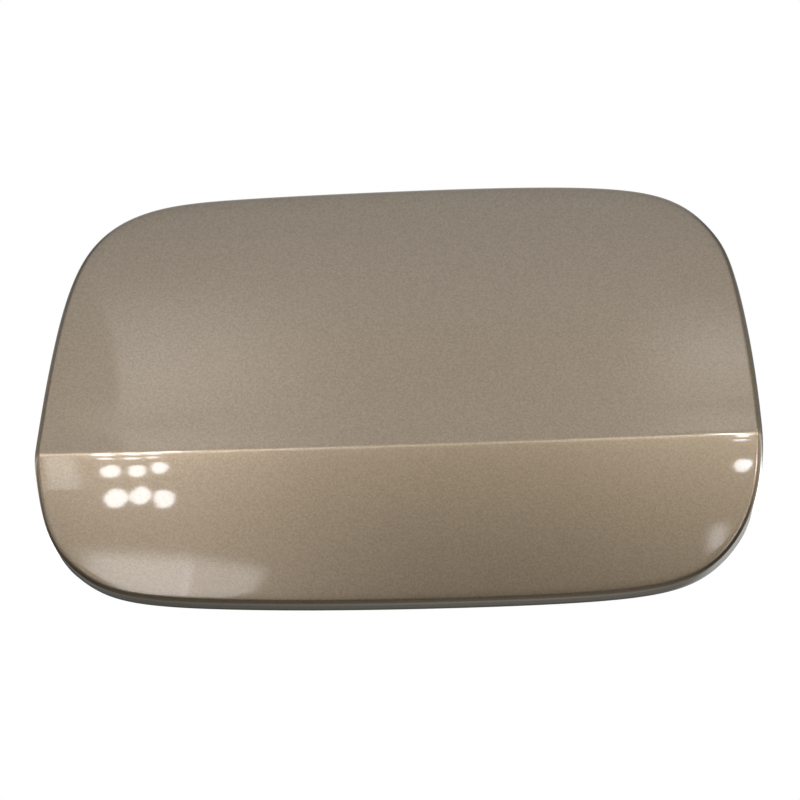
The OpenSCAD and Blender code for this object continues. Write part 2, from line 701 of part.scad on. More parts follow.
// The pin: a flat head above the upper bush and a groove for the clip below the lower one
clip_t = 0.8;
groove_depth = 0.7;
clip_gap = 0.2;
head_z = bush_end + clip_gap;
pin_tail = 1.4;
module hinge_pin() color(ZINC) translate([pin_x, pin_y, hinge_z]) rotate_extrude() polygon([
    [0, -head_z - clip_t - pin_tail - 0.1],
    [pin_r - 0.6, -head_z - clip_t - pin_tail - 0.1],
    [pin_r, -head_z - clip_t - pin_tail + 0.5],
    [pin_r, -head_z - clip_t - 0.1],
    [pin_r - groove_depth, -head_z - clip_t - 0.1],
    [pin_r - groove_depth, -head_z],
    [pin_r, -head_z],
    [pin_r, head_z],
    [pin_r + 2.2, head_z],
    [pin_r + 2.2, head_z + 1.2],
    [pin_r + 1.6, head_z + 1.8],
    [0, head_z + 1.8]
]);

// The clip in the groove, open on the side away from the door
module pin_clip() color(SPRING_STEEL)
    translate([pin_x, pin_y, hinge_z - head_z - clip_t - 0.05]) difference() {
        cylinder(r = pin_r + 2.2, h = clip_t);
        translate([0, 0, -1]) cylinder(r = pin_r - groove_depth + 0.05, h = clip_t + 2);
        translate([-pin_r + groove_depth + 0.4, 0, -1]) cube([2 * (pin_r - groove_depth - 0.4), 10, clip_t + 2]);
        for (w = [-150, -30]) rotate(w) translate([pin_r + 0.6, 0, -1]) cylinder(r = 0.9, h = clip_t + 2);
    }

// A collared bush; side is 1 for the upper cheek and -1 for the lower one
module bush(side) {
    translate([pin_x, pin_y, hinge_z]) mirror([0, 0, side > 0 ? 0 : 1]) difference() {
        union() {
            translate([0, 0, cheek_in - collar_t]) cylinder(r = bush_r + 1.5, h = collar_t);
            translate([0, 0, cheek_in - collar_t]) cylinder(r = bush_r, h = bush_end - cheek_in + collar_t);
        }
        translate([0, 0, cheek_in - collar_t - 1]) cylinder(r = bearing_r, h = bush_end - cheek_in + collar_t + 2);
    }
}
module upper_bush() color(NATURAL_NYLON) bush(1);
module lower_bush() color(NATURAL_NYLON) bush(-1);

// The spring: one bent foot lies on the bracket's web and the other on the arm's pad
web_foot = 3.6;
pad_foot = 4;
foot_bend = 1.6;
spring_sides = 8;
steps_a_turn = 18;

// Points along a bend of radius r at the corner p, from direction a into direction b
function bend(p, a, b, r, steps) =
    let(
        turn = acos(a * b),
        start = p - a * r * tan(turn / 2),
        side = (b - a * (a * b)) / norm(b - a * (a * b))
    )
    [for (i = [0:steps]) let(w = turn * i / steps) start + a * r * sin(w) + side * r * (1 - cos(w))];

module opening_spring() color(SPRING_STEEL) {
    steps = round(spring_sweep / 360 * steps_a_turn);
    leg_dir = [-sin(leg_turn), cos(leg_turn)];
    leg_start = [pin_x, pin_y] + coil_r * [cos(leg_turn), sin(leg_turn)];
    web_corner = [pin_x - coil_r, web_y - wire_r - fit_gap];
    pad_corner_y = pad_back + wire_r + fit_gap;
    pad_corner = leg_start + leg_dir * (pad_corner_y - leg_start[1]) / leg_dir[1];
    low = concat([web_corner - [web_foot, 0]], bend(web_corner, [1, 0], [0, -1], foot_bend, 4));
    high = concat(bend(pad_corner, leg_dir, [-1, 0], foot_bend, 3), [pad_corner - [pad_foot, 0]]);
    path = concat(
        [for (p = low) [p[0], p[1], hinge_z - spring_half]],
        [for (i = [0:steps]) let(w = 180 + spring_sweep * i / steps)
            [pin_x + coil_r * cos(w), pin_y + coil_r * sin(w), hinge_z - spring_half + 2 * spring_half * i / steps]],
        [for (p = high) [p[0], p[1], hinge_z + spring_half]]
    );
    wire(path, wire_r, spring_sides);
}

// A round wire along a path: a ring of points square to the path at each of its points
module wire(path, r, sides) {
    n = len(path);
    function along(i) = let(d = path[min(i + 1, n - 1)] - path[max(i - 1, 0)]) d / norm(d);
    function ring(i) =
        let(d = along(i), side = cross([0, 0, 1], d), a = side / norm(side), b = cross(d, a))
        [for (j = [0:sides - 1]) path[i] + r * (a * cos(360 * j / sides) + b * sin(360 * j / sides))];
    faces = concat(
        [for (i = [0:n - 2]) for (j = [0:sides - 1])
            each quad(i * sides + j, (i + 1) * sides + j, (i + 1) * sides + (j + 1) % sides, i * sides + (j + 1) % sides)],
        [[for (j = [0:sides - 1]) j]],
        [[for (j = [sides - 1:-1:0]) (n - 1) * sides + j]]
    );
    polyhedron([for (i = [0:n - 1]) each ring(i)], faces, convexity = 10);
}

// A rubber buffer's half section: a barb, a neck through the sheet and a domed head
module buffer_section(sheet, head_r, height) {
    dome_r = 2;
    top_r = head_r - 1.2;
    polygon(concat(
        [[0, -sheet - 2.4], [neck_r - 0.6, -sheet - 2.4], [neck_r + 0.5, -sheet - 1.2],
            [neck_r + 0.9, -sheet - fit_gap], [neck_r, -sheet - fit_gap], [neck_r, 0], [head_r, 0],
            [head_r, 1.4], [head_r - 0.8, 2.4]],
        [for (w = [0:15:90]) [top_r - dome_r * (1 - cos(w)), height - dome_r * (1 - sin(w))]],
        [[0, height]]
    ));
}
module door_buffer(p) {
    translate([p[0], floor_back, p[1]]) rotate([-90, 0, 0]) rotate_extrude()
        buffer_section(inner_t, buffer_r, buffer_h);
}
module upper_buffer() color(BLACK_RUBBER) door_buffer(UPPER_BUFFER);
module lower_buffer() color(BLACK_RUBBER) door_buffer(LOWER_BUFFER);
module hinge_side_buffer() color(BLACK_RUBBER) door_buffer(HINGE_SIDE_BUFFER);

// The stop that the opened door rests against
stop_r = 4;
stop_h = 5.6;
module opening_stop() color(BLACK_RUBBER) translate([tab_x, stop_y, hinge_z]) rotate([0, 90, 0])
    rotate_extrude() buffer_section(bracket_t, stop_r, stop_h);

// The catch: a foot on the inner panel and a blade with a window for the latch bolt
module latch_catch() color(BLACK_PLASTIC) {
    blade_x = -catch_x;
    foot_r = 3;
    window_y = floor_back + catch_reach - 4 - catch_window;
    difference() {
        union() {
            along_y(floor_back, catch_t)
                rounded(blade_x - 3, hinge_z - catch_screw_reach - 4.4, catch_screw_x + 5,
                    hinge_z + catch_screw_reach + 4.4, foot_r);
            along_x(blade_x, catch_t) translate([0, hinge_z]) difference() {
                union() {
                    translate([floor_back, -catch_w / 2]) square([catch_reach - 3, catch_w]);
                    translate([floor_back, -catch_w / 2 + 3]) square([catch_reach, catch_w - 6]);
                    for (s = [-1, 1]) translate([floor_back + catch_reach - 3, s * (catch_w / 2 - 3)]) circle(3);
                }
                translate([window_y, -catch_window / 2]) square(catch_window);
            }
            for (s = [-1, 1]) along_z(hinge_z + s * (catch_w / 2 - catch_t / 2) - catch_t / 2, catch_t) polygon([
                [blade_x + catch_t / 2, floor_back + catch_t / 2], [catch_screw_x + 2, floor_back + catch_t / 2],
                [blade_x + catch_t + 1, window_y - 1], [blade_x + catch_t / 2, window_y - 1]
            ]);
        }
        for (p = CATCH_SCREWS) bar_y(p[0], floor_back - 1, p[1], small_screw_r + 0.2, catch_t + 2);
    }
}

// Small pan-headed screws that hold the catch
module catch_screws() color(ZINC) for (p = CATCH_SCREWS) {
    shank = catch_t + inner_t + 2.6;
    translate([p[0], floor_back + catch_t - shank, p[1]]) rotate([-90, 0, 0]) rotate_extrude() polygon([
        [0, 0], [small_screw_r - 0.7, 0], [small_screw_r, 1.4], [small_screw_r, shank], [small_head_r, shank],
        [small_head_r, shank + small_head_h * 0.5], [small_head_r - 1.2, shank + small_head_h], [0, shank + small_head_h]
    ]);
}

// The holder that the fuel cap hangs in: a back plate, and a slotted shelf with a lip
module cap_holder() color(BLACK_PLASTIC) {
    left = holder_x - holder_w / 2;
    shelf_z = holder_z - 8;
    difference() {
        union() {
            along_y(floor_back, holder_t) rounded(left, shelf_z, left + holder_w, rivet_z + 6, 3);
            along_x(left, holder_w) polygon([
                [floor_back + holder_t / 2, shelf_z], [floor_back + holder_reach - 2, shelf_z],
                [floor_back + holder_reach, shelf_z + 2], [floor_back + holder_reach, shelf_z + holder_lip - 1],
                [floor_back + holder_reach - 1, shelf_z + holder_lip],
                [floor_back + holder_reach - holder_t, shelf_z + holder_lip],
                [floor_back + holder_reach - holder_t, shelf_z + holder_t],
                [floor_back + holder_t / 2, shelf_z + holder_t]
            ]);
            for (x = [left, left + holder_w - holder_t]) along_x(x, holder_t) polygon([
                [floor_back + holder_t / 2, shelf_z + holder_t / 2], [floor_back + holder_reach - holder_t / 2, shelf_z + holder_t / 2],
                [floor_back + holder_reach - holder_t / 2, shelf_z + holder_t + 1.5], [floor_back + holder_t + 1.5, shelf_z + holder_lip + 3],
                [floor_back + holder_t / 2, shelf_z + holder_lip + 3]
            ]);
        }
        along_z(shelf_z - 1, holder_lip + 2) translate([holder_x - tether_w / 2, floor_back + holder_t + 5])
            square([tether_w, holder_reach]);
        for (p = RIVETS) bar_y(p[0], floor_back - 1, p[1], rivet_r + fit_gap, holder_t + 2);
    }
}

// Push rivets that hold the cap holder
module holder_rivets() color(BLACK_PLASTIC) for (p = RIVETS) {
    shank = holder_t + inner_t;
    translate([p[0], floor_back + holder_t - shank, p[1]]) rotate([-90, 0, 0]) rotate_extrude() polygon([
        [0, -2.6], [rivet_r - 0.6, -2.6], [rivet_r + 0.7, -1], [rivet_r + 0.7, -fit_gap], [rivet_r, -fit_gap],
        [rivet_r, shank + fit_gap], [rivet_r + 2, shank + fit_gap], [rivet_r + 1.6, shank + 1.1],
        [rivet_r + 0.6, shank + 1.6], [0, shank + 1.6]
    ]);
}

in_frame() outer_panel();
in_frame() inner_panel();
in_frame() mastic_pads();
in_frame() hem_sealer();
in_frame() hinge_arm();
in_frame() arm_screws();
in_frame() arm_washers();
in_frame() weld_nuts();
in_frame() hinge_bracket();
in_frame() hinge_pin();
in_frame() pin_clip();
in_frame() upper_bush();
in_frame() lower_bush();
in_frame() opening_spring();
in_frame() opening_stop();
in_frame() latch_catch();
in_frame() catch_screws();
in_frame() upper_buffer();
in_frame() lower_buffer();
in_frame() hinge_side_buffer();
in_frame() cap_holder();
in_frame() holder_rivets();
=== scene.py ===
# %% [markdown]
# # A car fuel door
# The door is a pressed steel skin, about 190 mm wide, whose edge is rolled and folded over an
# inner panel. A sprung gooseneck hinge carries it, and a moulded catch holds it shut.
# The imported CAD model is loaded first. Its nodes are the fixed frame: new pieces are drawn in
# the same place, ride on the same two bodies and stand for the nodes they replace.

# %% Load the frame
import json
import math

import bmesh
import bpy
import numpy as np
from mathutils import Matrix, Vector
from mathutils.geometry import delaunay_2d_cdt

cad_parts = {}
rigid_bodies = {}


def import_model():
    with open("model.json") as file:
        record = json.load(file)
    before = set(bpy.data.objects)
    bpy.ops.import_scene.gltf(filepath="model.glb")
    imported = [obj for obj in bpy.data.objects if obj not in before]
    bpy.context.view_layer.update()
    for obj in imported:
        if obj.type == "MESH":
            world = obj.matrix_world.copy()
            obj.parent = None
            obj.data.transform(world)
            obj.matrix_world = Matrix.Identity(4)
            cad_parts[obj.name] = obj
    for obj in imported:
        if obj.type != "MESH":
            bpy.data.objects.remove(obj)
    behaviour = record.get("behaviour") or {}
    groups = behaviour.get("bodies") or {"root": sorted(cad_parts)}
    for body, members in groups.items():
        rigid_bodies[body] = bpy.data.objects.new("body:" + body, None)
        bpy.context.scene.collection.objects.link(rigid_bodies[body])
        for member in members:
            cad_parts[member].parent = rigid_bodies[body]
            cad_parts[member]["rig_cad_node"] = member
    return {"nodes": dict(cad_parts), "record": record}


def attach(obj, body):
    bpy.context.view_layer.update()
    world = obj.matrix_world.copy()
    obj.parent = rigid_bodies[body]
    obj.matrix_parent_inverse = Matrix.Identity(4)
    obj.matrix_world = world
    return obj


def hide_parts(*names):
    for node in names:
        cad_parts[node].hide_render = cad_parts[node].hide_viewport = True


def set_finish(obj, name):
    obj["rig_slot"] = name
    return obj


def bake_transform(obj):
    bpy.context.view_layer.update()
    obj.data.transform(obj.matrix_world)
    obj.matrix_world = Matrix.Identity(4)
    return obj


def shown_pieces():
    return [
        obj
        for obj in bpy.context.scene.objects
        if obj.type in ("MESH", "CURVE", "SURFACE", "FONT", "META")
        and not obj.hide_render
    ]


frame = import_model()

scene = bpy.context.scene
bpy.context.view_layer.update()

# %% [markdown]
# ## One drawing for the whole door
# Every size here is in millimetres from the middle of the character line: X to the right, Y into
# the car, Z up. One function shifts a finished drawing to the CAD's origin, which lies between
# the two hinge bolts.

# %% Placing a drawing
ORIGIN = np.array([-0.042, -0.038, -0.008])


def placed(points):
    """Millimetres from the middle of the line become metres from the CAD's origin."""
    return ORIGIN + np.asarray(points, float).reshape(-1, 3) / 1000


# %% [markdown]
# ## From arrays to a piece
# A surface is a grid of points: a row for each step of its profile, a column for each place
# along it. Corners that fall together at a pole or a seam are merged, so that the piece is
# closed and its normals can be turned outwards.

# %% Grids and meshes
SAME_PLACE = 2e-6


def grid_faces(rows, columns, wrap_rows=False, wrap_columns=True):
    """Quads of a grid whose columns join round, and whose rows do if asked."""
    last_row, last_column = rows - (not wrap_rows), columns - (not wrap_columns)
    r, c = np.meshgrid(np.arange(last_row), np.arange(last_column), indexing="ij")
    r2, c2 = (r + 1) % rows, (c + 1) % columns
    quads = [r * columns + c, r * columns + c2, r2 * columns + c2, r2 * columns + c]
    return np.stack(quads, axis=-1).reshape(-1, 4)


def shell_of(grid, wrap_rows=False):
    """The points and faces of a grid whose columns join round."""
    return grid.reshape(-1, 3), grid_faces(*grid.shape[:2], wrap_rows)


def together(shells):
    """Several shells of points and faces as one, with the face numbers moved on."""
    starts = np.cumsum([0] + [len(points) for points, faces in shells])
    faces = [face + start for (points, face), start in zip(shells, starts)]
    return np.concatenate([points for points, face in shells]), np.concatenate(faces)


def linked(name, data):
    """An object of the scene with a mesh, a light or a camera as its data."""
    thing = bpy.data.objects.new(name, data)
    scene.collection.objects.link(thing)
    return thing


def dressed(name, mesh, work, body, slot, node):
    """A smooth object from a worked mesh, on its body, standing for a node of the CAD."""
    work.to_mesh(mesh)
    work.free()
    mesh.polygons.foreach_set("use_smooth", np.ones(len(mesh.polygons), bool))
    thing = linked(name, mesh)
    if body:
        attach(thing, body)
    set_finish(thing, slot)
    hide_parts(node)
    print(name, "has", len(mesh.polygons), "faces")
    return thing


def piece(name, shell, body, slot, node, sharp=38):
    """A shell in drawing millimetres as an object with its sharp edges marked."""
    points, faces = shell
    mesh = bpy.data.meshes.new(name)
    mesh.from_pydata(placed(points).tolist(), [], faces.tolist())
    work = bmesh.new()
    work.from_mesh(mesh)
    bmesh.ops.remove_doubles(work, verts=work.verts, dist=SAME_PLACE)
    bmesh.ops.recalc_face_normals(work, faces=work.faces)
    thing = dressed(name, mesh, work, body, slot, node)
    mesh.set_sharp_from_angle(angle=math.radians(sharp))
    return thing


# %% [markdown]
# ## The outline
# The outline is two smooth runs that meet at the two ends of the character line. Each run is a
# uniform cubic B-spline through a few control points, given in per cent of the reach on their
# side and of the height. The points along it are spread evenly and crowd a little in the
# corners, where a turn of one radian counts as twelve millimetres.

# %% Spline through control points
REACH_LEFT, REACH_RIGHT = 97.0, 94.5
UPPER_H, LOWER_H = 70.5, 42.0
UPPER = np.array([
    [-98.5, 13.5], [-95.5, 39], [-88, 83], [-69.5, 98.5], [-45, 100], [-1, 100],
    [43.5, 99.5], [77.5, 96], [89.5, 80], [95, 66.5], [99, 27.5]
])
LOWER = np.array([
    [-98, -49.5], [-88.5, -74.5], [-77, -89], [-47.5, -95], [-8, -99],
    [62.5, -100], [83.5, -89.5], [95.5, -59], [99.5, -26]
])
COLUMNS = 160
TURN_LENGTH = 12.0


def run_of(points, height):
    """Control points at their real size, with both ends of the line repeated three times."""
    reach = np.where(points[:, 0] < 0, REACH_LEFT, REACH_RIGHT)
    inner = np.stack([points[:, 0] * reach, points[:, 1] * height], axis=1) / 100
    return np.concatenate([[[-REACH_LEFT, 0]] * 3, inner, [[REACH_RIGHT, 0]] * 3])


def spline(points, s):
    """Cubic B-spline at shares s: each span weighs four control points by t and 1 - t."""
    spans = len(points) - 3
    i = np.minimum((s * spans).astype(int), spans - 1)
    t = (s * spans - i)[:, None]
    a, b, c, d = (points[i + n] for n in range(4))
    middle = (3 * t**3 - 6 * t**2 + 4) * b + (-3 * t**3 + 3 * t**2 + 3 * t + 1) * c
    return ((1 - t) ** 3 * a + middle + t**3 * d) / 6


def spread(points, count):
    """Points of a run at equal steps of length plus twelve millimetres per radian of turn."""
    s = np.linspace(0, 1, 2401)
    step = np.diff(spline(points, s), axis=0)
    length = np.linalg.norm(step, axis=1)
    turn = np.linalg.norm(np.diff(step / length[:, None], axis=0), axis=1)
    measure = np.r_[0, np.cumsum(length + TURN_LENGTH * np.r_[0, turn])]
    return spline(points, np.interp(np.linspace(0, measure[-1], count + 1), measure, s))


# %% Outline with softened ends
def outline():
    """The loop over the top and back underneath, evened out a little where the runs meet."""
    over, under = spread(run_of(UPPER, UPPER_H), COLUMNS), spread(run_of(LOWER, LOWER_H), COLUMNS)
    loop = np.concatenate([over, under[-2:0:-1]])
    soft = loop
    for _ in range(3):
        soft = (np.roll(soft, 1, axis=0) + 2 * soft + np.roll(soft, -1, axis=0)) / 4
    k = np.arange(len(loop))
    far = np.minimum(np.minimum(k, len(loop) - k), abs(k - COLUMNS))
    weight = np.exp(-((far / 4) ** 2))[:, None]
    return loop + (soft - loop) * weight


EDGE = outline()
LOOP = len(EDGE)
ALONG = np.roll(EDGE, -1, axis=0) - np.roll(EDGE, 1, axis=0)
ALONG = ALONG / np.linalg.norm(ALONG, axis=1)[:, None]
OUT = np.stack([-ALONG[:, 1], ALONG[:, 0]], axis=1)
print("outline of", LOOP, "points,", np.round(np.ptp(EDGE, axis=0), 1), "mm")

# %% [markdown]
# ## The face
# The face is crowned from side to side and bows away from the character line, gently above it
# and more below it. A shallow hollow leads into the line from above. The depth of every point
# is one formula of its place, so the reflections run smoothly over the whole face.

# %% Depth of the face
CROWN_R, UPPER_BOW_R, LOWER_BOW_R = 2000.0, 650.0, 454.0
UPPER_SLOPE, LOWER_SLOPE = 0.03, 0.12
HOLLOW_D, HOLLOW_H, CREST_HALF = 0.3, 5.0, 0.62
LINE_SAG, LINE_TILT, LINE_UP = 1.0, 0.0112, 0.35


def line_z(x):
    """Height of the character line: its middle sags a millimetre below its tilted ends."""
    sag = LINE_SAG * (1 - (x / np.where(x < 0, REACH_LEFT, REACH_RIGHT)) ** 2)
    return LINE_UP - LINE_TILT * x - sag


def face_y(x, z):
    """Depth: the crown, plus a slope and a bow that grow with the distance from the line."""
    h = z - line_z(x)
    d = np.sqrt(h * h + CREST_HALF**2) - CREST_HALF
    hollow = HOLLOW_D * (1 - np.exp(-d / HOLLOW_H))
    above = UPPER_SLOPE * d + d * d / (2 * UPPER_BOW_R) + hollow
    below = LOWER_SLOPE * d + d * d / (2 * LOWER_BOW_R)
    return x * x / (2 * CROWN_R) + np.where(h >= 0, above, below)


# %% [markdown]
# ## The rolled edge and the hem
# At the outline the sheet rolls over, runs back with a little flare, and is folded round the
# inner panel. Each section of the edge starts where the face ends and turns by the slope that
# the face has there, so that the roll flows out of the face.

# %% Sections round the edge
SKIN_T, EDGE_D = 0.8, 8.0
FACE_EDGE_R, HEM_EDGE_R = 1.6, 1.6
EDGE_FLARE, HEM_FLAT = math.radians(7), 4.5

EDGE_Y = face_y(*EDGE.T)
SLOPE = np.arctan(EDGE_Y - face_y(*(EDGE - OUT).T))
START_A = -FACE_EDGE_R * (math.cos(EDGE_FLARE) - np.sin(SLOPE))
START = EDGE + OUT * START_A[:, None]
START_Y = face_y(*START.T)
HEM_Y = EDGE_Y + EDGE_D - HEM_EDGE_R
ROLL_Y = START_Y + FACE_EDGE_R * (np.cos(SLOPE) - math.sin(EDGE_FLARE))
HEM_A = math.tan(EDGE_FLARE) * (HEM_Y - HEM_EDGE_R * math.sin(EDGE_FLARE) - ROLL_Y)
HEM_A = HEM_A - HEM_EDGE_R * math.cos(EDGE_FLARE)


def at(a, y):
    """Points at a distance a outward of the outline and at a depth y."""
    a, y = np.broadcast_to(a, LOOP), np.broadcast_to(y, LOOP)
    return np.stack([EDGE[:, 0] + OUT[:, 0] * a, y, EDGE[:, 1] + OUT[:, 1] * a], axis=1)


def roll_row(share, r):
    """A row of the roll: an arc of radius r from the slope of the face to the flare."""
    w = SLOPE + (math.pi / 2 - EDGE_FLARE - SLOPE) * share
    a = START_A - FACE_EDGE_R * np.sin(SLOPE) + r * np.sin(w)
    return at(a, START_Y + FACE_EDGE_R * np.cos(SLOPE) - r * np.cos(w))


def hem_row(share, r):
    """A row of the fold: an arc of radius r from the flare round to the flat of the hem."""
    w = -EDGE_FLARE + (math.pi / 2 + EDGE_FLARE) * share
    return at(HEM_A + r * math.cos(w), HEM_Y + r * math.sin(w))


# %% [markdown]
# The face itself is drawn between the character line and the start of the roll. Its rows sit at
# the squares of equal shares, so that they are close together at the line, where the sheet
# turns, and wide apart on the open face. The outside and the inside of the sheet are one grid
# that turns round the cut end of the hem, which makes a closed skin with its real thickness.

# %% The skin
FACE_ROWS = 40


def face_rows(shift):
    """Rows from the line to the roll's start, each at the square of its share of the way."""
    k = np.arange(LOOP)
    column = np.minimum(k, LOOP - k)
    x = (START[column, 0] + START[(LOOP - column) % LOOP, 0]) / 2
    foot = np.stack([x, line_z(x)], axis=1)
    ends = (column == 0) | (column == COLUMNS)
    foot[ends] = START[ends]
    v = np.linspace(0, 1, FACE_ROWS + 1)[:, None, None] ** 2
    flat = foot + (START - foot) * v
    return np.stack([flat[..., 0], face_y(flat[..., 0], flat[..., 1]) + shift, flat[..., 1]], axis=-1)


def skin_rows(inner):
    """Rows of one side of the sheet, from the line out to the end of the hem."""
    t = SKIN_T if inner else 0.0
    roll = [roll_row(share, FACE_EDGE_R - t) for share in np.linspace(0, 1, 9)[1:]]
    side = [roll[-1] + (hem_row(0, HEM_EDGE_R - t) - roll[-1]) * share for share in (1 / 3, 2 / 3)]
    hem = [hem_row(share, HEM_EDGE_R - t) for share in np.linspace(0, 1, 8)]
    flat = [at(HEM_A - HEM_FLAT * share, HEM_Y + HEM_EDGE_R - t) for share in (0.5, 1.0)]
    return np.concatenate([face_rows(t), roll, side, hem, flat])


skin_grid = np.concatenate([skin_rows(False), skin_rows(True)[::-1]])
piece("door_skin", shell_of(skin_grid), "door", "body_paint", "outer_panel", sharp=50)

# %% [markdown]
# ## The inner panel
# Behind the skin lies a second pressing. Its rim sits in the hem, a wall steps down from the rim
# to a flat floor, and beads and hole flanges stiffen the floor. The rim and the wall follow the
# outline, so they are a grid of rows. The floor has round holes, so it is triangulated once
# in the flat, between its own edge and the rings round the holes, and pressed afterwards by a
# formula that gives the depth at every point.

# %% Sizes of the inner panel
INNER_T, FLOOR_BACK = 0.8, 8.8
RIM_W, WALL_RUN = 9.0, 4.0
BEAD_H, BEAD_W, SOFT = 1.6, 10.0, 1.5
BEADS = [[(-34.0, 36.7), (37.8, 36.7)], [(-35.9, -8.4), (8.0, -8.4)]]
DRAINS = [(-34.0, -21.0), (23.6, -21.0)]
GAUGES = [(-39.8, 50.4), (43.9, 50.2)]
HOLES = [(x, z, 3.5) for x, z in DRAINS] + [(x, z, 3.0) for x, z in GAUGES]
RIM_Y = EDGE_Y + EDGE_D - SKIN_T - 0.05


def smooth(low, high, value):
    """Smooth step: 0 below low, 1 above high, and 3t2 - 2t3 between them."""
    t = np.clip((value - low) / (high - low), 0, 1)
    return t * t * (3 - 2 * t)


# %% Seats and pads that stay at full height, and the relief of the floor
RIVETS = [(-27.0, 19.0), (-9.0, 19.0)]
SEATS = [(-60.1, 47.9, 8.5), (-50.4, -16.8, 8.5), (62.4, 46.5, 8.5)] + [(x, z, 7.0) for x, z in RIVETS]
PADS = [
    ((40.0, 8.0), (60.0, 8.0), 19.0), ((-69.0, 2.0), (-69.0, 14.0), 14.0), ((-24, 10), (-12, 10), 14.0)
]


def from_line(x, z, a, b):
    """Distance of points from a straight piece of line."""
    ax, az, bx, bz = a[0], a[1], b[0] - a[0], b[1] - a[1]
    t = np.clip(((x - ax) * bx + (z - az) * bz) / (bx * bx + bz * bz + 1e-9), 0, 1)
    return np.hypot(x - ax - t * bx, z - az - t * bz)


def floor_relief(x, z, rim_distance):
    """Depth pressed towards the skin: the open field, and the beads where they are deeper."""
    keep = np.ones_like(x)
    for sx, sz, r in SEATS:
        keep = np.minimum(keep, smooth(r, r + 2.5, np.hypot(x - sx, z - sz)))
    for a, b, r in PADS:
        keep = np.minimum(keep, smooth(r, r + 2.5, from_line(x, z, a, b)))
    field = 0.5 * keep * smooth(2.0, 5.0, rim_distance)
    for a, b in BEADS:
        d = from_line(x, z, a, b)
        field = np.maximum(field, BEAD_H * (1 - smooth(1.6, BEAD_W / 2, d)))
    for hx, hz, r in HOLES:
        field = field + 0.35 * (1 - smooth(r, r + 2.2, np.hypot(x - hx, z - hz)))
    return field * smooth(0.0, 1.5, rim_distance)


# %% Rim and wall
def wall_row(share):
    """A row at a share of the way from the rim's end to the floor: a smooth step in depth."""
    a = HEM_A - (RIM_W + WALL_RUN + SOFT) * share
    step = smooth(RIM_W - SOFT, RIM_W + WALL_RUN + SOFT, (RIM_W + WALL_RUN + SOFT) * share)
    return at(a, RIM_Y + (FLOOR_BACK - RIM_Y) * step)


wall_grid = np.array([wall_row(share) for share in np.r_[0, np.linspace(0.45, 1, 22)]])
floor_ring = wall_grid[-1][:, [0, 2]]

# %% Floor between its ring and the holes
def ring_round(x, z, r, count=40):
    """Points of a circle."""
    w = np.linspace(0, 2 * math.pi, count, endpoint=False)
    return np.stack([x + r * np.cos(w), z + r * np.sin(w)], axis=1)


def ring_distance(points):
    """Distance of points inside the floor's ring from the nearest side of it."""
    a, b = floor_ring, np.roll(floor_ring, -1, axis=0)
    side = b - a
    t = ((points[:, None] - a) * side).sum(-1) / (side**2).sum(-1)
    near = a + side * np.clip(t, 0, 1)[..., None]
    normal = np.stack([side[:, 1], -side[:, 0]], axis=1)
    d = np.linalg.norm(points[:, None] - near, axis=-1)
    pick = d.argmin(axis=1)
    rows = np.arange(len(points))
    inside = ((points - a[pick]) * normal[pick]).sum(-1) > 0
    return np.where(inside, d[rows, pick], -d[rows, pick])


def floor_mesh(step=1.3):
    """Triangles of the floor: a fine grid inside the ring, and rings round each hole."""
    low, high = floor_ring.min(axis=0), floor_ring.max(axis=0)
    x, z = np.meshgrid(np.arange(low[0], high[0], step), np.arange(low[1], high[1], step))
    x = x + step / 2 * (np.arange(len(x)) % 2)[:, None]
    inner = np.stack([x.ravel(), z.ravel()], axis=1)
    inner = inner[ring_distance(inner) > 0.7]
    for hx, hz, r in HOLES:
        inner = inner[np.hypot(inner[:, 0] - hx, inner[:, 1] - hz) > r + 1.4]
    rings = [ring_round(hx, hz, r) for hx, hz, r in HOLES]
    wide = [ring_round(hx, hz, r + 0.25) for hx, hz, r in HOLES]
    flat = np.concatenate([floor_ring, *rings, *wide, inner])
    edges, start = [], LOOP
    for ring in rings:
        edges += [(start + i, start + (i + 1) % len(ring)) for i in range(len(ring))]
        start += len(ring)
    found = delaunay_2d_cdt([Vector(p) for p in flat], edges, [list(range(LOOP))], 1, 1e-7, False)
    verts, faces = np.array([list(v) for v in found[0]]), np.array(found[2])
    gap = np.linalg.norm(verts[:, None] - floor_ring, axis=-1)
    same = gap.min(axis=1) < 0.001
    verts[same] = floor_ring[gap.argmin(axis=1)[same]]
    middle = verts[faces].mean(axis=1)
    for hx, hz, r in HOLES:
        keep = np.hypot(middle[:, 0] - hx, middle[:, 1] - hz) > r * 0.996
        middle, faces = middle[keep], faces[keep]
    return verts, faces


floor_flat, floor_faces = floor_mesh()
relief = floor_relief(floor_flat[:, 0], floor_flat[:, 1], ring_distance(floor_flat))
floor_points = np.stack([floor_flat[:, 0], FLOOR_BACK - relief, floor_flat[:, 1]], axis=1)

# %% A sheet with both its sides
def thickened(shell, thickness):
    """A sheet of triangles and its copy towards the skin, joined round every open edge."""
    points, faces = shell
    points, number = np.unique(np.round(points, 4), axis=0, return_inverse=True)
    faces = number.reshape(-1)[faces]
    edges = np.concatenate([faces[:, [0, 1]], faces[:, [1, 2]], faces[:, [2, 0]]])
    _, first, count = np.unique(np.sort(edges, axis=1), axis=0, return_index=True, return_counts=True)
    a, b = edges[first[count == 1]].T
    n = len(points)
    rim = np.concatenate([np.stack([a, b, b + n], axis=1), np.stack([a, b + n, a + n], axis=1)])
    return np.concatenate([points, points - [0, thickness, 0]]), np.concatenate([faces, faces + n, rim])


wall_quads = grid_faces(len(wall_grid), LOOP)
wall_faces = np.concatenate([wall_quads[:, [0, 1, 2]], wall_quads[:, [0, 2, 3]]])
inner_shell = together([(wall_grid.reshape(-1, 3), wall_faces), (floor_points, floor_faces)])
piece("inner_pan", thickened(inner_shell, INNER_T), "door", "inner_paint", "inner_panel")

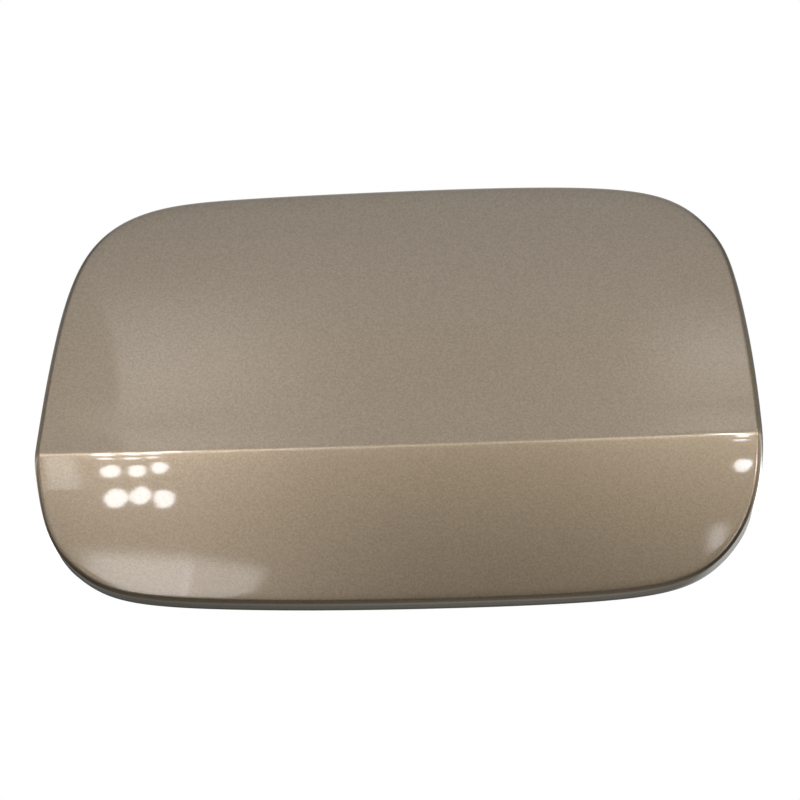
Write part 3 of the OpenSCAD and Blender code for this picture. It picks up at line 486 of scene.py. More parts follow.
# %% [markdown]
# ## Sealer and mastic
# A low round bead of sealer is brushed over the cut end of the hem before painting, a little
# wider here and narrower there.

# %% The sealer bead
SEALER_W = 2.2


def sealer_rows():
    """Rows of the bead: a quarter wave from the rim up to the hem's cut, with a slow waver."""
    share = np.linspace(0, 2 * math.pi, LOOP, endpoint=False)
    waver = 0.10 * np.sin(7 * share) + 0.07 * np.sin(17 * share + 1) + 0.05 * np.sin(41 * share + 2)
    rows = []
    for t in np.linspace(0, 1, 9):
        a = HEM_A - HEM_FLAT - 0.03 - (SEALER_W * 0.93 + waver) * (1 - t)
        rows.append(at(a, RIM_Y + 0.03 + (SKIN_T - 0.06) * math.sin(t * math.pi / 2) ** 0.8))
    rows.append(at(HEM_A - HEM_FLAT - 0.03, RIM_Y + 0.03))
    return np.array(rows)


piece("sealer_bead", shell_of(sealer_rows(), True), "door", "seam_sealer", "hem_sealer")

# %% [markdown]
# ## Turned parts
# Round parts are a profile of radius and height carried round an axis. A row may also give its
# radius for every angle, which makes the six flats of a screw's head or the lobes of its socket.

# %% A profile carried round an axis
TURNS = 72
ANGLE = np.linspace(0, 2 * math.pi, TURNS, endpoint=False)


def turned(rows, centre, axis="y", closed=False):
    """Rows of [radius, height] round an axis through a centre, in drawing millimetres."""
    r = np.array([np.broadcast_to(row[0], TURNS) for row in rows])
    h = np.array([np.broadcast_to(row[1], TURNS) for row in rows])
    u, v = r * np.cos(ANGLE), r * np.sin(ANGLE)
    order = {"x": [h, u, v], "y": [u, h, v], "z": [u, v, h]}[axis]
    return shell_of(np.stack(order, axis=-1) + np.asarray(centre, float), closed)


def rounded(corners, closed=False, steps=5):
    """A profile of [radius, height, rounding] corners, each one drawn as a small smooth arc."""
    points = [np.array(c[:2], float) for c in corners]
    out, n = [], len(corners)
    for i, corner in enumerate(corners):
        r = corner[2] if len(corner) > 2 else 0
        if r == 0 or (not closed and i in (0, n - 1)):
            out.append(points[i])
            continue
        a, b = points[i - 1] - points[i], points[(i + 1) % n] - points[i]
        reach = min(r, 0.49 * np.linalg.norm(a), 0.49 * np.linalg.norm(b))
        start, end = points[i] + a / np.linalg.norm(a) * reach, points[i] + b / np.linalg.norm(b) * reach
        for t in np.linspace(0, 1, steps):
            out.append((1 - t) ** 2 * start + 2 * t * (1 - t) * points[i] + t * t * end)
    return out


def hexagon(flats):
    """Radius of a hexagon for every angle, with its flats towards X."""
    return flats / 2 / np.cos((ANGLE + math.pi / 6) % (math.pi / 3) - math.pi / 6)


# %% Sizes of the hinge and its spring
PIN_X, PIN_Y, HINGE_Z = 70.0, 19.0, 8.0
PIN = (PIN_X, PIN_Y, HINGE_Z)
ARM_T, ARM_HALF, ARM_BEND = 2.0, 11.95, 1.2
PAD_BACK = FLOOR_BACK + ARM_T
WIRE_R, COIL_R, COIL_TURNS, COIL_PITCH = 0.8, 5.2, 5, 1.75
LEG_ANGLE = 130
SWEEP_ANGLE = 360 * COIL_TURNS - (180 - LEG_ANGLE)
SPRING_HALF = COIL_PITCH * SWEEP_ANGLE / 720

# %% Screws, washers and weld nuts of the arm
WASHER_R, WASHER_T, NUT_H, HEAD_H = 5.0, 1.0, 3.6, 3.2
SCREW_RISE = ARM_HALF - ARM_BEND - WASHER_R - 0.15
THIRD_RISE = SPRING_HALF - WIRE_R - WASHER_R - 0.45
ARM_SCREWS = [(29.2, HINGE_Z - SCREW_RISE), (29.2, HINGE_Z + SCREW_RISE), (43.12, HINGE_Z + THIRD_RISE)]
HEX = hexagon(8.0) - 0.03


def hex_screw(x, z):
    """A head with a turned chamfer and a shallow dish, on a shank that passes its nut."""
    top, tip = HEAD_H, -(WASHER_T + ARM_T + INNER_T + NUT_H + 0.6)
    slope = top - np.maximum(HEX - 3.85, 0) * math.tan(math.radians(30))
    rows = [
        (0, top - 0.35), (2.0, top - 0.35), (2.5, top - 0.3), (2.75, top - 0.05), (3.0, top), (3.6, top),
        (3.85, top - 0.02), (HEX, slope - 0.02), (HEX, slope - 0.15), (HEX, 0.12), (HEX - 0.12, 0),
        (2.45, 0), (2.45, tip + 0.5), (1.9, tip), (0, tip),
    ]
    return turned(rows, (x, PAD_BACK + WASHER_T, z))


def washer(x, z):
    """A rectangle with rounded corners carried round the screw's axis."""
    corners = [(2.65, 0, 0.2), (WASHER_R, 0, 0.2), (WASHER_R, WASHER_T, 0.2), (2.65, WASHER_T, 0.2)]
    return turned(rounded(corners, closed=True), (x, PAD_BACK, z), closed=True)


def weld_nut(x, z):
    """A six-sided nut with its bore, under the floor's sheet."""
    top = FLOOR_BACK - INNER_T
    foot = top - NUT_H
    rows = [
        (2.5, foot), (2.5, top), (HEX - 0.2, top), (HEX, top - 0.2), (HEX, foot + 0.3), (HEX - 0.4, foot)
    ]
    return turned(rows, (x, 0, z), closed=True)


for name, node, drawn_at in (
    ("arm_bolts", "arm_screws", hex_screw),
    ("arm_rings", "arm_washers", washer),
    ("arm_nuts", "weld_nuts", weld_nut),
):
    piece(name, together([drawn_at(*p) for p in ARM_SCREWS]), "door", "zinc_steel", node)

# %% Small screws of the catch, with a six-lobed socket
CATCH_X, CATCH_Z, CATCH_RISE = -66.0, 8.0, 12.1
CATCH_SCREWS = [(CATCH_X, CATCH_Z - CATCH_RISE), (CATCH_X, CATCH_Z + CATCH_RISE)]


def small_screw(x, z):
    """A low domed head with a socket of six lobes, on a short pointed shank."""
    lobes = 1.15 + 0.17 * np.cos(6 * ANGLE)
    dome = [(3.6 * math.sin(w), 0.9 + 1.3 * math.cos(w)) for w in np.linspace(0.5, math.pi / 2, 7)]
    rows = [(0, 0.7), (lobes * 0.9, 0.8), (lobes, 0.95), (lobes, 1.95), (lobes + 0.12, 2.06), *dome]
    rows += [(3.6, 0.25), (3.4, 0.02), (1.9, 0), (1.9, -4.4), (1.2, -5.8), (0, -5.8)]
    return turned(rows, (x, FLOOR_BACK + 2.4, z))


small_screws = together([small_screw(*p) for p in CATCH_SCREWS])
piece("catch_bolts", small_screws, "door", "zinc_steel", "catch_screws")

# %% Push rivets of the cap holder
def push_rivet(x, z):
    """A flat head with the ring of its centre pin, and a barbed shank behind the sheet."""
    base = FLOOR_BACK + 2.2
    rows = rounded([
        (0, 1.45), (1.6, 1.45, 0.2), (1.75, 1.2, 0.1), (1.9, 1.2, 0.1), (2.1, 1.55, 0.2), (3.2, 1.5, 0.5),
        (4.4, 0.6, 0.5), (4.4, 0.02, 0.15), (2.4, 0.02), (2.4, -3.02), (3.1, -3.1, 0.2), (3.1, -4.0, 0.3),
        (1.8, -5.6, 0.2), (0, -5.6),
    ])
    return turned(rows, (x, base, z))


piece("holder_pins", together([push_rivet(*p) for p in RIVETS]), "door", "black_plastic", "holder_rivets")

# %% [markdown]
# A rubber buffer is pulled through a hole until its barb snaps out behind the sheet. Its head
# has a collar, a waist, a fine parting ring and a domed end.

# %% Rubber buffers and the opening stop
def buffer(sheet, head_r, height, centre, axis="y"):
    """A barb, a neck through the sheet, a collar, a waist and a domed head."""
    top = head_r - 1.2
    corners = [
        (0, -sheet - 2.4), (2.0, -sheet - 2.4, 0.3), (3.1, -sheet - 1.2, 0.3), (3.5, -sheet - 0.05, 0.2),
        (2.6, -sheet - 0.05), (2.6, 0), (head_r - 0.2, 0.02, 0.2), (head_r - 0.02, 1.3, 0.5),
        (head_r - 0.9, 2.5, 0.5), (head_r - 1.05, height * 0.55, 0.4), (head_r - 0.98, height * 0.57, 0.1),
        (head_r - 0.98, height * 0.6, 0.1), (head_r - 1.05, height * 0.62, 0.1),
        (top, height - 0.03, 1.9), (top - 1.6, height - 0.03, 0.5), (top - 2.0, height - 0.5, 0.3),
        (0, height - 0.5),
    ]
    return turned(rounded(corners), centre, axis)


for name, node, x, z in (
    ("upper_rubber", "upper_buffer", -60.14, 47.94),
    ("lower_rubber", "lower_buffer", -50.44, -16.8),
    ("hinge_side_rubber", "hinge_side_buffer", 62.37, 46.53),
):
    piece(name, buffer(INNER_T, 6.0, 11.0, (x, FLOOR_BACK, z)), "door", "black_rubber", node)
stop = buffer(ARM_T, 4.0, 5.6, (72.0, 32.4, HINGE_Z), "x")
piece("stop_rubber", stop, "base", "black_rubber", "opening_stop")

# %% Pin and bushes
HEAD_Z = 14.45
pin_corners = [
    (0, -HEAD_Z - 2.3), (2.4, -HEAD_Z - 2.3, 0.3), (3.0, -HEAD_Z - 1.7, 0.2), (3.0, -HEAD_Z - 0.9, 0.05),
    (2.3, -HEAD_Z - 0.9, 0.05), (2.3, -HEAD_Z, 0.05), (3.0, -HEAD_Z, 0.05), (3.0, HEAD_Z, 0.1),
    (5.17, HEAD_Z, 0.15), (5.17, HEAD_Z + 1.2, 0.3), (4.6, HEAD_Z + 1.77, 0.4), (1.4, HEAD_Z + 1.77, 0.2),
    (1.0, HEAD_Z + 1.5, 0.2), (0, HEAD_Z + 1.5),
]
piece("pivot_pin", turned(rounded(pin_corners), PIN, "z"), "base", "zinc_steel", "hinge_pin")


def bush(side):
    """A collar against the ear of the bracket and a sleeve through the cheek of the arm."""
    corners = [
        (3.06, 11.15, 0.15), (5.94, 11.15, 0.2), (5.94, 11.94, 0.2), (4.44, 11.96),
        (4.44, 14.24, 0.2), (3.06, 14.24, 0.15),
    ]
    rows = [(r, side * h) for r, h in rounded(corners, closed=True)]
    return turned(rows, PIN, "z", closed=True)


piece("upper_sleeve", bush(1), "door", "nylon", "upper_bush")
piece("lower_sleeve", bush(-1), "door", "nylon", "lower_bush")

# %% [markdown]
# ## The opening spring
# The spring is one wire: a foot on the bracket, five turns round the pin, and a foot on the arm.
# A ring of points is set square to the wire's path at each of its points. The coil winds as the
# door opens; here it is drawn once, at rest, and rides on neither body.

# %% The wire and its path
LEG_TURN, SWEEP = math.radians(LEG_ANGLE), math.radians(SWEEP_ANGLE)
WEB_Y, FOOT_BEND, FOOT_GAP = 36.0, 1.6, 0.02


def bend(corner, a, b, r, count):
    """Points of an arc of radius r that leaves direction a and ends in direction b."""
    a, b, corner = np.array(a, float), np.array(b, float), np.array(corner, float)
    turn = math.acos(float(a @ b))
    across = b - a * float(a @ b)
    across = across / np.linalg.norm(across)
    w = np.linspace(0, turn, count)[:, None]
    return corner - a * r * math.tan(turn / 2) + a * r * np.sin(w) + across * r * (1 - np.cos(w))


def lifted(points, z):
    """Flat points lifted to a height."""
    return np.column_stack([points, np.full(len(points), z)])


def spring_path():
    """The lower foot, the coil that climbs steadily with its turns, and the upper foot."""
    leg = np.array([-math.sin(LEG_TURN), math.cos(LEG_TURN)])
    start = np.array([PIN_X, PIN_Y]) + COIL_R * np.array([math.cos(LEG_TURN), math.sin(LEG_TURN)])
    web = np.array([PIN_X - COIL_R, WEB_Y - WIRE_R - FOOT_GAP])
    pad_y = PAD_BACK + WIRE_R + FOOT_GAP
    pad = start + leg * (pad_y - start[1]) / leg[1]
    w = np.linspace(0, SWEEP, 240)
    coil = np.column_stack([
        PIN_X + COIL_R * np.cos(math.pi + w), PIN_Y + COIL_R * np.sin(math.pi + w),
        HINGE_Z - SPRING_HALF + 2 * SPRING_HALF * w / SWEEP,
    ])
    low = np.concatenate([[web - [3.6, 0]], bend(web, (1, 0), (0, -1), FOOT_BEND, 9)])
    high = np.concatenate([bend(pad, leg, (-1, 0), FOOT_BEND, 8), [pad - [4.0, 0]]])
    return np.concatenate([lifted(low, HINGE_Z - SPRING_HALF), coil, lifted(high, HINGE_Z + SPRING_HALF)])


def wire(path, r, sides=14):
    """A ring square to the path at each point; the ends are cut flat with a small chamfer."""
    along = np.gradient(path, axis=0)
    along = along / np.linalg.norm(along, axis=1)[:, None]
    side = np.cross([0, 0, 1], along)
    side = side / np.linalg.norm(side, axis=1)[:, None]
    up = np.cross(along, side)
    w = np.linspace(0, 2 * math.pi, sides, endpoint=False)
    shape = side[:, None] * np.cos(w)[:, None] + up[:, None] * np.sin(w)[:, None]
    rings = path[:, None] + r * shape
    first = [path[0] + 0 * shape[0], path[0] + 0.8 * r * shape[0]]
    last = [path[-1] + 0.8 * r * shape[-1], path[-1] + 0 * shape[-1]]
    rings[0] = rings[0] + along[0] * 0.15
    rings[-1] = rings[-1] - along[-1] * 0.15
    return shell_of(np.concatenate([first, rings, last]))


door_spring = piece("door_spring", wire(spring_path(), WIRE_R), None, "spring_steel", "opening_spring")
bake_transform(door_spring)

# %% [markdown]
# ## Pressed and moulded parts taken from the CAD
# The arm, the bracket, the catch, the cap holder and the clip have their real shape in the CAD
# already, but sheared sheet and moulded plastic always carry a small radius. A copy of each node
# gets its flat faces merged and a narrow bevel on every edge that turns by over thirty degrees.

# %% Softened copies
def softened(node, name, body, slot, width):
    """A merged copy of a CAD node with a bevel of a width in millimetres on its crisp edges."""
    mesh = frame["nodes"][node].data.copy()
    mesh.name = name
    work = bmesh.new()
    work.from_mesh(mesh)
    bmesh.ops.remove_doubles(work, verts=work.verts, dist=SAME_PLACE / 2)
    bmesh.ops.dissolve_limit(work, angle_limit=math.radians(1.5), verts=work.verts, edges=work.edges)
    edge = dressed(name, mesh, work, body, slot, node).modifiers.new("soft_edges", "BEVEL")
    edge.width = width / 1000
    edge.segments = 2
    edge.limit_method = "ANGLE"
    edge.angle_limit = math.radians(30)
    edge.harden_normals = True


softened("hinge_arm", "gooseneck", "door", "black_steel", 0.35)
softened("hinge_bracket", "car_bracket", "base", "black_steel", 0.35)
softened("latch_catch", "catch_blade", "door", "black_plastic", 0.3)
softened("cap_holder", "cap_cradle", "door", "black_plastic", 0.3)
softened("pin_clip", "groove_clip", "base", "spring_steel", 0.12)

# %% [markdown]
# ## Finishes
# A finish is written as sums and products. One class wraps a socket of a material: adding or
# multiplying two of them puts a Math node between them, and one method makes any other node.

# %% Sockets that can be added and multiplied
class Flow:
    """A socket of one material."""

    def __init__(self, tree, socket=None):
        self.tree = tree
        self.socket = socket

    def add(self, kind, settings=None, sockets=None, output=0):
        """Makes a node, gives it its settings, then its sockets, and returns one output."""
        node = self.tree.nodes.new("ShaderNode" + kind)
        for name, value in (settings or {}).items():
            setattr(node, name, value)
        for name, value in (sockets or {}).items():
            if isinstance(value, Flow):
                self.tree.links.new(value.socket, node.inputs[name])
            else:
                node.inputs[name].default_value = value
        return Flow(self.tree, node.outputs[output] if node.outputs else None)

    def math(self, operation, a, b=0.0):
        return self.add("Math", {"operation": operation}, {0: a, 1: b})

    def __add__(self, other):
        return self.math("ADD", self, other)

    def __sub__(self, other):
        return self.math("SUBTRACT", self, other)

    def __rsub__(self, other):
        return self.math("SUBTRACT", other, self)

    def __mul__(self, other):
        return self.math("MULTIPLY", self, other)

    __radd__, __rmul__ = __add__, __mul__

    def step(self, low, high):
        """A smooth step from 0 at low to 1 at high."""
        return self.add("MapRange", {"interpolation_type": "SMOOTHSTEP"}, {0: self, 1: low, 2: high})


def new_finish(name):
    """An empty material, a starting socket and the place on the object in metres."""
    material = bpy.data.materials.new(name)
    material.use_nodes = True
    material.node_tree.nodes.clear()
    start = Flow(material.node_tree)
    return material, start, start.add("TexCoord", output="Object")


def noise(place, size, detail=2.0, rough=0.5):
    """Soft noise from 0 to 1 whose lumps are about size millimetres."""
    sockets = {"Vector": place, "Scale": 1000.0 / size, "Detail": detail, "Roughness": rough}
    return place.add("TexNoise", {}, sockets)


def between(mask, a, b):
    """Colour a where the mask is 0, and b where it is 1; a plain colour gets its alpha of 1."""
    a, b = [c if isinstance(c, Flow) else (*c, 1.0) for c in (a, b)]
    return mask.add("Mix", {"data_type": "RGBA"}, {0: mask, 6: a, 7: b}, output=2)


def surface(start, colour, roughness, bump=None, depth=0.0, **more):
    """The shader and, where a bump is given, its height in millimetres."""
    sockets = {"Base Color": colour, "Roughness": roughness}
    sockets.update({name.replace("_", " "): value for name, value in more.items()})
    if bump is not None:
        height = {"Strength": 1.0, "Distance": depth / 1000, "Height": bump}
        sockets["Normal"] = start.add("Bump", {}, height)
    start.add("OutputMaterial", {}, {"Surface": start.add("BsdfPrincipled", {}, sockets)})


def shade(colour, factor):
    """A colour made lighter or darker."""
    return tuple(c * factor for c in colour)


# %% [markdown]
# The body colour is a beige metallic base under a smooth, glossy clear coat, which is the
# shader's own coat. A metallic base of medium roughness darkens as the surface turns away, as
# fine aluminium flakes do. The flakes are tiny cells, each lighter or darker than the next.

# %% Body paint
PAINT = (0.290, 0.230, 0.169)
FLAKES_PER_METRE = 2600.0
body_paint, start, place = new_finish("body_paint")
flake = place.add("TexVoronoi", {}, {"Vector": place, "Scale": FLAKES_PER_METRE}, output="Color")
flake = place.add("SeparateColor", {}, {0: flake})
cloud = noise(place, 9.0)
grain = flake * 0.75 + noise(place, 0.9, 1.0) * 0.25
surface(
    start, between(grain, shade(PAINT, 0.86), shade(PAINT, 1.14)), 0.27 + 0.04 * cloud,
    Metallic=0.85, Coat_Weight=1.0, Coat_Roughness=0.03, Coat_IOR=1.5,
)

# %% [markdown]
# The hidden side gets the same colour as a thin coat over grey primer. It is drier and less even,
# with the primer showing through here and there.

# %% Paint on the hidden side
inner_paint, start, place = new_finish("inner_paint")
thin = noise(place, 14.0, 4.0, 0.6).step(0.40, 0.72)
speck = noise(place, 0.7)
covered = between(thin, shade(PAINT, 0.92), (0.27, 0.245, 0.205))
surface(
    start, between(speck * 0.35, covered, shade(PAINT, 0.70)), 0.42 + 0.12 * thin, speck, 0.012,
    Metallic=0.30, Coat_Weight=0.45, Coat_Roughness=0.18,
)

# %% Sealer and mastic
sealer, start, place = new_finish("sealer")
lump = noise(place, 2.5, 3.0)
surface(
    start, between(lump, shade(PAINT, 0.80), shade(PAINT, 0.98)), 0.48 + 0.2 * lump, lump, 0.12,
    Coat_Weight=0.2, Coat_Roughness=0.3,
)

mastic, start, place = new_finish("mastic")
pores = noise(place, 0.8, 3.0)
black, grey = (0.02, 0.02, 0.022), (0.05, 0.05, 0.052)
surface(start, between(pores, black, grey), 0.7 + 0.2 * pores, pores, 0.1)

# %% [markdown]
# The arm and the bracket are dipped in black electrocoat: satin, very slightly grainy, and a
# touch browner where the film is thin.

# %% Electrocoat
electrocoat, start, place = new_finish("electrocoat")
film = noise(place, 11.0, 3.0, 0.6)
grit = noise(place, 0.35)
surface(
    start, between(film, (0.016, 0.016, 0.017), (0.030, 0.028, 0.027)), 0.34 + 0.10 * film + 0.06 * grit,
    grit, 0.008, Coat_Weight=0.15, Coat_Roughness=0.25,
)

# %% Zinc plate and spring wire
zinc, start, place = new_finish("zinc")
bloom = noise(place, 2.4, 3.0, 0.6)
fine = noise(place, 0.25)
surface(
    start, between(bloom, (0.62, 0.62, 0.60), (0.50, 0.52, 0.55)), 0.26 + 0.16 * bloom + 0.05 * fine,
    fine, 0.006, Metallic=1.0,
)

spring_wire, start, place = new_finish("spring_wire")
drawn = noise(place, 0.5, 3.0)
oil = noise(place, 4.0)
bright, brown = (0.30, 0.30, 0.31), (0.22, 0.20, 0.18)
surface(start, between(oil, bright, brown), 0.24 + 0.16 * drawn, drawn, 0.008, Metallic=1.0)

# %% Nylon, moulded plastic and rubber
natural_nylon, start, place = new_finish("natural_nylon")
cloudy = noise(place, 1.6)
surface(
    start, between(cloudy, (0.70, 0.67, 0.58), (0.78, 0.76, 0.68)), 0.36 + 0.1 * cloudy,
    Subsurface_Weight=0.15, Subsurface_Scale=0.002,
)

moulded, start, place = new_finish("moulded_plastic")
texture = noise(place, 0.45, 3.0, 0.6)
# Soft random patches of a lighter black: partly wear, partly painted sheen.
sheen = noise(place, 7.0)
black, worn_and_sheen = (0.014, 0.014, 0.015), (0.022, 0.022, 0.023)
surface(start, between(sheen, black, worn_and_sheen), 0.42 + 0.14 * texture, texture, 0.03)

rubber, start, place = new_finish("rubber")
skinned = noise(place, 0.6, 3.0)
dust = noise(place, 5.0, 3.0, 0.6).step(0.55, 0.85)
black, dusty = (0.010, 0.010, 0.010), (0.035, 0.034, 0.032)
surface(start, between(dust, black, dusty), 0.62 + 0.2 * skinned, skinned, 0.02)

# %% Giving every piece its finish
FINISHES = {
    "body_paint": body_paint, "inner_paint": inner_paint, "seam_sealer": sealer, "mastic": mastic,
    "black_steel": electrocoat, "zinc_steel": zinc, "spring_steel": spring_wire, "nylon": natural_nylon,
    "black_plastic": moulded, "black_rubber": rubber,
}
node_slots = {part["node"]: part["material_slot"] for part in frame["record"]["subparts"]}
for name, node in frame["nodes"].items():
    node.data.materials.clear()
    node.data.materials.append(FINISHES[node_slots[name]])
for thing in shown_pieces():
    if thing.get("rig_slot") and not thing.get("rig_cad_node"):
        thing.data.materials.clear()
        thing.data.materials.append(FINISHES[thing["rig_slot"]])

# %% [markdown]
# ## Camera
# The photograph was taken a little from below, with a long lens. The camera looks at the middle
# of the character line, rolled by less than two degrees, and is shifted to the door's height.

# %% Camera
AZIMUTH, ELEVATION, ROLL = math.radians(3), math.radians(-12), math.radians(1.78)
DISTANCE, LENS_PIXELS = 0.8, 3061.6
PICTURE, MIDDLE_PX = 800, (399.5, 442.5)


def direction(az, el):
    """Unit directions at an azimuth from the front of the door and an elevation, in radians."""
    return np.stack([np.sin(az) * np.cos(el), -np.cos(az) * np.cos(el), np.sin(el) + 0 * az], axis=-1)


forward = -direction(AZIMUTH, ELEVATION)
level_right = np.array([math.cos(AZIMUTH), math.sin(AZIMUTH), 0])
level_up = np.cross(level_right, forward)
right = math.cos(ROLL) * level_right - math.sin(ROLL) * level_up
up = math.sin(ROLL) * level_right + math.cos(ROLL) * level_up
eye = ORIGIN - forward * DISTANCE

lens = bpy.data.cameras.new("lens")
lens.sensor_width = 36.0
lens.lens = LENS_PIXELS / PICTURE * lens.sensor_width
lens.shift_x = 0.5 - MIDDLE_PX[0] / PICTURE
lens.shift_y = MIDDLE_PX[1] / PICTURE - 0.5
camera = linked("camera", lens)
turn = Matrix([list(right), list(up), list(-forward)]).transposed().to_4x4()
camera.matrix_world = Matrix.Translation(Vector(eye)) @ turn
scene.camera = camera

# %% [markdown]
# ## Light
# The room is a plain pale floor far below the door and an even soft world, which shows as white
# to the camera and in the gloss. Two large soft lamps give the door its shape.

# %% World
SOFT_LIGHT = 0.62
scene.view_settings.view_transform = "Standard"
world = bpy.data.worlds.new("soft_room")
scene.world = world
world.use_nodes = True
world.node_tree.nodes.clear()
sky = Flow(world.node_tree)
to_camera, to_gloss, through = [
    sky.add("LightPath", output=name) for name in ("Is Camera Ray", "Is Glossy Ray", "Is Transmission Ray")
]
seen = sky.math("MAXIMUM", sky.math("MAXIMUM", to_camera, to_gloss), through)
plain = (1.0, 1.0, 1.0, 1.0)
dim, white = [sky.add("Background", {}, {"Color": plain, "Strength": power}) for power in (SOFT_LIGHT, 1.0)]
sky.add("OutputWorld", {}, {"Surface": sky.add("MixShader", {}, {0: seen, 1: dim, 2: white})})


# %% Floor and lamps
def stage_sheet(name, corners, material, glossy_only=False):
    """A flat or bent sheet of the stage from its grid of corners, in metres."""
    corners = np.asarray(corners, float)
    faces = grid_faces(*corners.shape[:2], wrap_columns=False)
    mesh = bpy.data.meshes.new(name)
    mesh.from_pydata(corners.reshape(-1, 3).tolist(), [], faces.tolist())
    mesh.materials.append(material)
    thing = linked(name, mesh)
    if glossy_only:
        thing.visible_camera = thing.visible_diffuse = thing.visible_shadow = False
        thing.visible_transmission = thing.visible_volume_scatter = False
    return thing


floor_paint, start, place = new_finish("floor_paint")
surface(start, between(noise(place, 60.0), (0.80, 0.80, 0.79), (0.84, 0.84, 0.83)), 0.8)
FLOOR_Z, FLOOR_HALF = -0.95, 6
floor_corners = [[(x, y, FLOOR_Z) for x in (-FLOOR_HALF, FLOOR_HALF)] for y in (-FLOOR_HALF, FLOOR_HALF)]
pale_floor = stage_sheet("floor", floor_corners, floor_paint)
pale_floor.visible_glossy = False


def soft_lamp(name, place_m, size, power):
    """A square soft lamp that faces the door."""
    light = bpy.data.lights.new(name, "AREA")
    light.size = size
    light.energy = power
    lamp = linked(name, light)
    lamp.location = place_m
    lamp.rotation_euler = (Vector(place_m) - Vector(ORIGIN)).to_track_quat("Z", "Y").to_euler()
    lamp.visible_glossy = False


soft_lamp("front_lamp", (-1.2, -2.2, 1.6), 1.6, 34)
soft_lamp("back_lamp", (1.0, 2.2, 1.4), 1.6, 30)

# %% [markdown]
# ## What the gloss shows
# Glossy paint shows what stands round it. The photograph was taken in a hall: bright above the
# horizon, with a bright strip just over it, a dark ground in front, grey ground behind and dark
# sides. A large round room that only glossy rays see gives the door that surrounding. Its
# brightness is a formula of the direction, whose parts run from -1 to 1.

# %% The room
ROOM_R, HALL, STRIP, LOW_RIGHT = 4.5, 0.81, 1.4, 0.44
room_paint, start, place = new_finish("room_light")
away = place.add("VectorMath", {"operation": "SUBTRACT"}, {0: place, 1: tuple(ORIGIN)})
away = away.add("VectorMath", {"operation": "NORMALIZE"}, {0: away})
parts = away.add("SeparateXYZ", {}, {0: away})
side_x, back_y, rise_z = [Flow(parts.tree, parts.socket.node.outputs[i]) for i in range(3)]
off_side = side_x.math("ABSOLUTE", side_x)
above = 0.20 * rise_z.step(-0.36, -0.26) + 0.46 * rise_z.step(-0.28, -0.03) + 0.34 * rise_z.step(0.0, 0.12)
dip = 1.0 - 0.36 * rise_z.step(0.08, 0.18) * (1.0 - rise_z.step(0.31, 0.42))
high = 1.0 - 0.26 * rise_z.step(0.40, 0.62)
width = 1.0 - 0.66 * off_side.step(0.40, 0.62) * (1.0 - 0.35 * off_side.step(0.75, 0.92))
width = width * (1.0 - 0.15 * off_side.step(0.05, 0.24))
left_low = 1.0 - 0.32 * (0.0 - side_x).step(0.03, 0.20) * (1.0 - rise_z.step(0.0, 0.10))
strip = rise_z.step(0.05, 0.09) * (1.0 - rise_z.step(0.14, 0.19)) * (1.0 + 1.2 * off_side.step(0.02, 0.20))
right_low = side_x.step(0.02, 0.20) * rise_z.step(-0.36, -0.20) * (1.0 - rise_z.step(0.02, 0.14))
ground = 0.10 + 0.25 * back_y.step(0.1, 0.6) * (1.0 - rise_z.step(-0.15, 0.0))
ground = ground + 0.12 * (1.0 - rise_z.step(-0.95, -0.70)) * (1.0 - back_y.step(0.1, 0.6))
behind = 1.0 - 0.86 * back_y.step(0.86, 0.95)
level = (ground + HALL * above * dip * high) * width * left_low * behind
level = level + STRIP * strip * width + LOW_RIGHT * right_low
cool = rise_z.step(-0.05, 0.35)
tone = between(cool, (1.0, 0.94, 0.79), (0.98, 1.0, 1.0))
tone = between(rise_z.step(0.38, 0.60), tone, (0.93, 1.0, 1.07))
tone = between(back_y.step(0.1, 0.6), tone, (0.96, 1.0, 0.98))
start.add("OutputMaterial", {}, {"Surface": start.add("Emission", {}, {"Color": tone, "Strength": level})})
round_z, height = np.radians(np.linspace(90, 450, 49)), np.radians(np.linspace(-90, 90, 24))[:, None]
stage_sheet("room", ORIGIN + ROOM_R * direction(round_z, height), room_paint, glossy_only=True)

# %% [markdown]
# The lamps and pale panels of the photograph are placed by where they are seen. A ray from the
# camera through a pixel is mirrored by the face, and a card's corner is put a metre along it. A
# card adds its glow to what lies behind it and fades towards its edges.

# %% Where a pixel's ray goes after the face
def mirrored(pixels):
    """Meeting points and mirrored directions: r = d - 2 (d.n) n, in drawing millimetres."""
    pixels = np.asarray(pixels, float)
    across, down = pixels[..., :1] - MIDDLE_PX[0], pixels[..., 1:] - MIDDLE_PX[1]
    ray = forward * LENS_PIXELS + right * across - up * down
    ray = ray / np.linalg.norm(ray, axis=-1, keepdims=True)
    start = -forward * DISTANCE * 1000
    reach = -start[1] / ray[..., 1:2]
    for _ in range(30):
        spot = start + ray * reach
        reach = (face_y(spot[..., 0], spot[..., 2])[..., None] - start[1]) / ray[..., 1:2]
    x, z, e = spot[..., 0], spot[..., 2], 0.01
    slope_x = (face_y(x + e, z) - face_y(x - e, z)) / (2 * e)
    slope_z = (face_y(x, z + e) - face_y(x, z - e)) / (2 * e)
    normal = np.stack([slope_x, np.full_like(x, -1.0), slope_z], axis=-1)
    normal = normal / np.linalg.norm(normal, axis=-1, keepdims=True)
    return spot, ray - 2 * (ray * normal).sum(axis=-1, keepdims=True) * normal


CARD_REACH, FAR_REACH = 1000.0, 3.0
LAMP_GLOW, RIM_NOISE, RIM_LUMP = 17.0, 22.0, 14.0


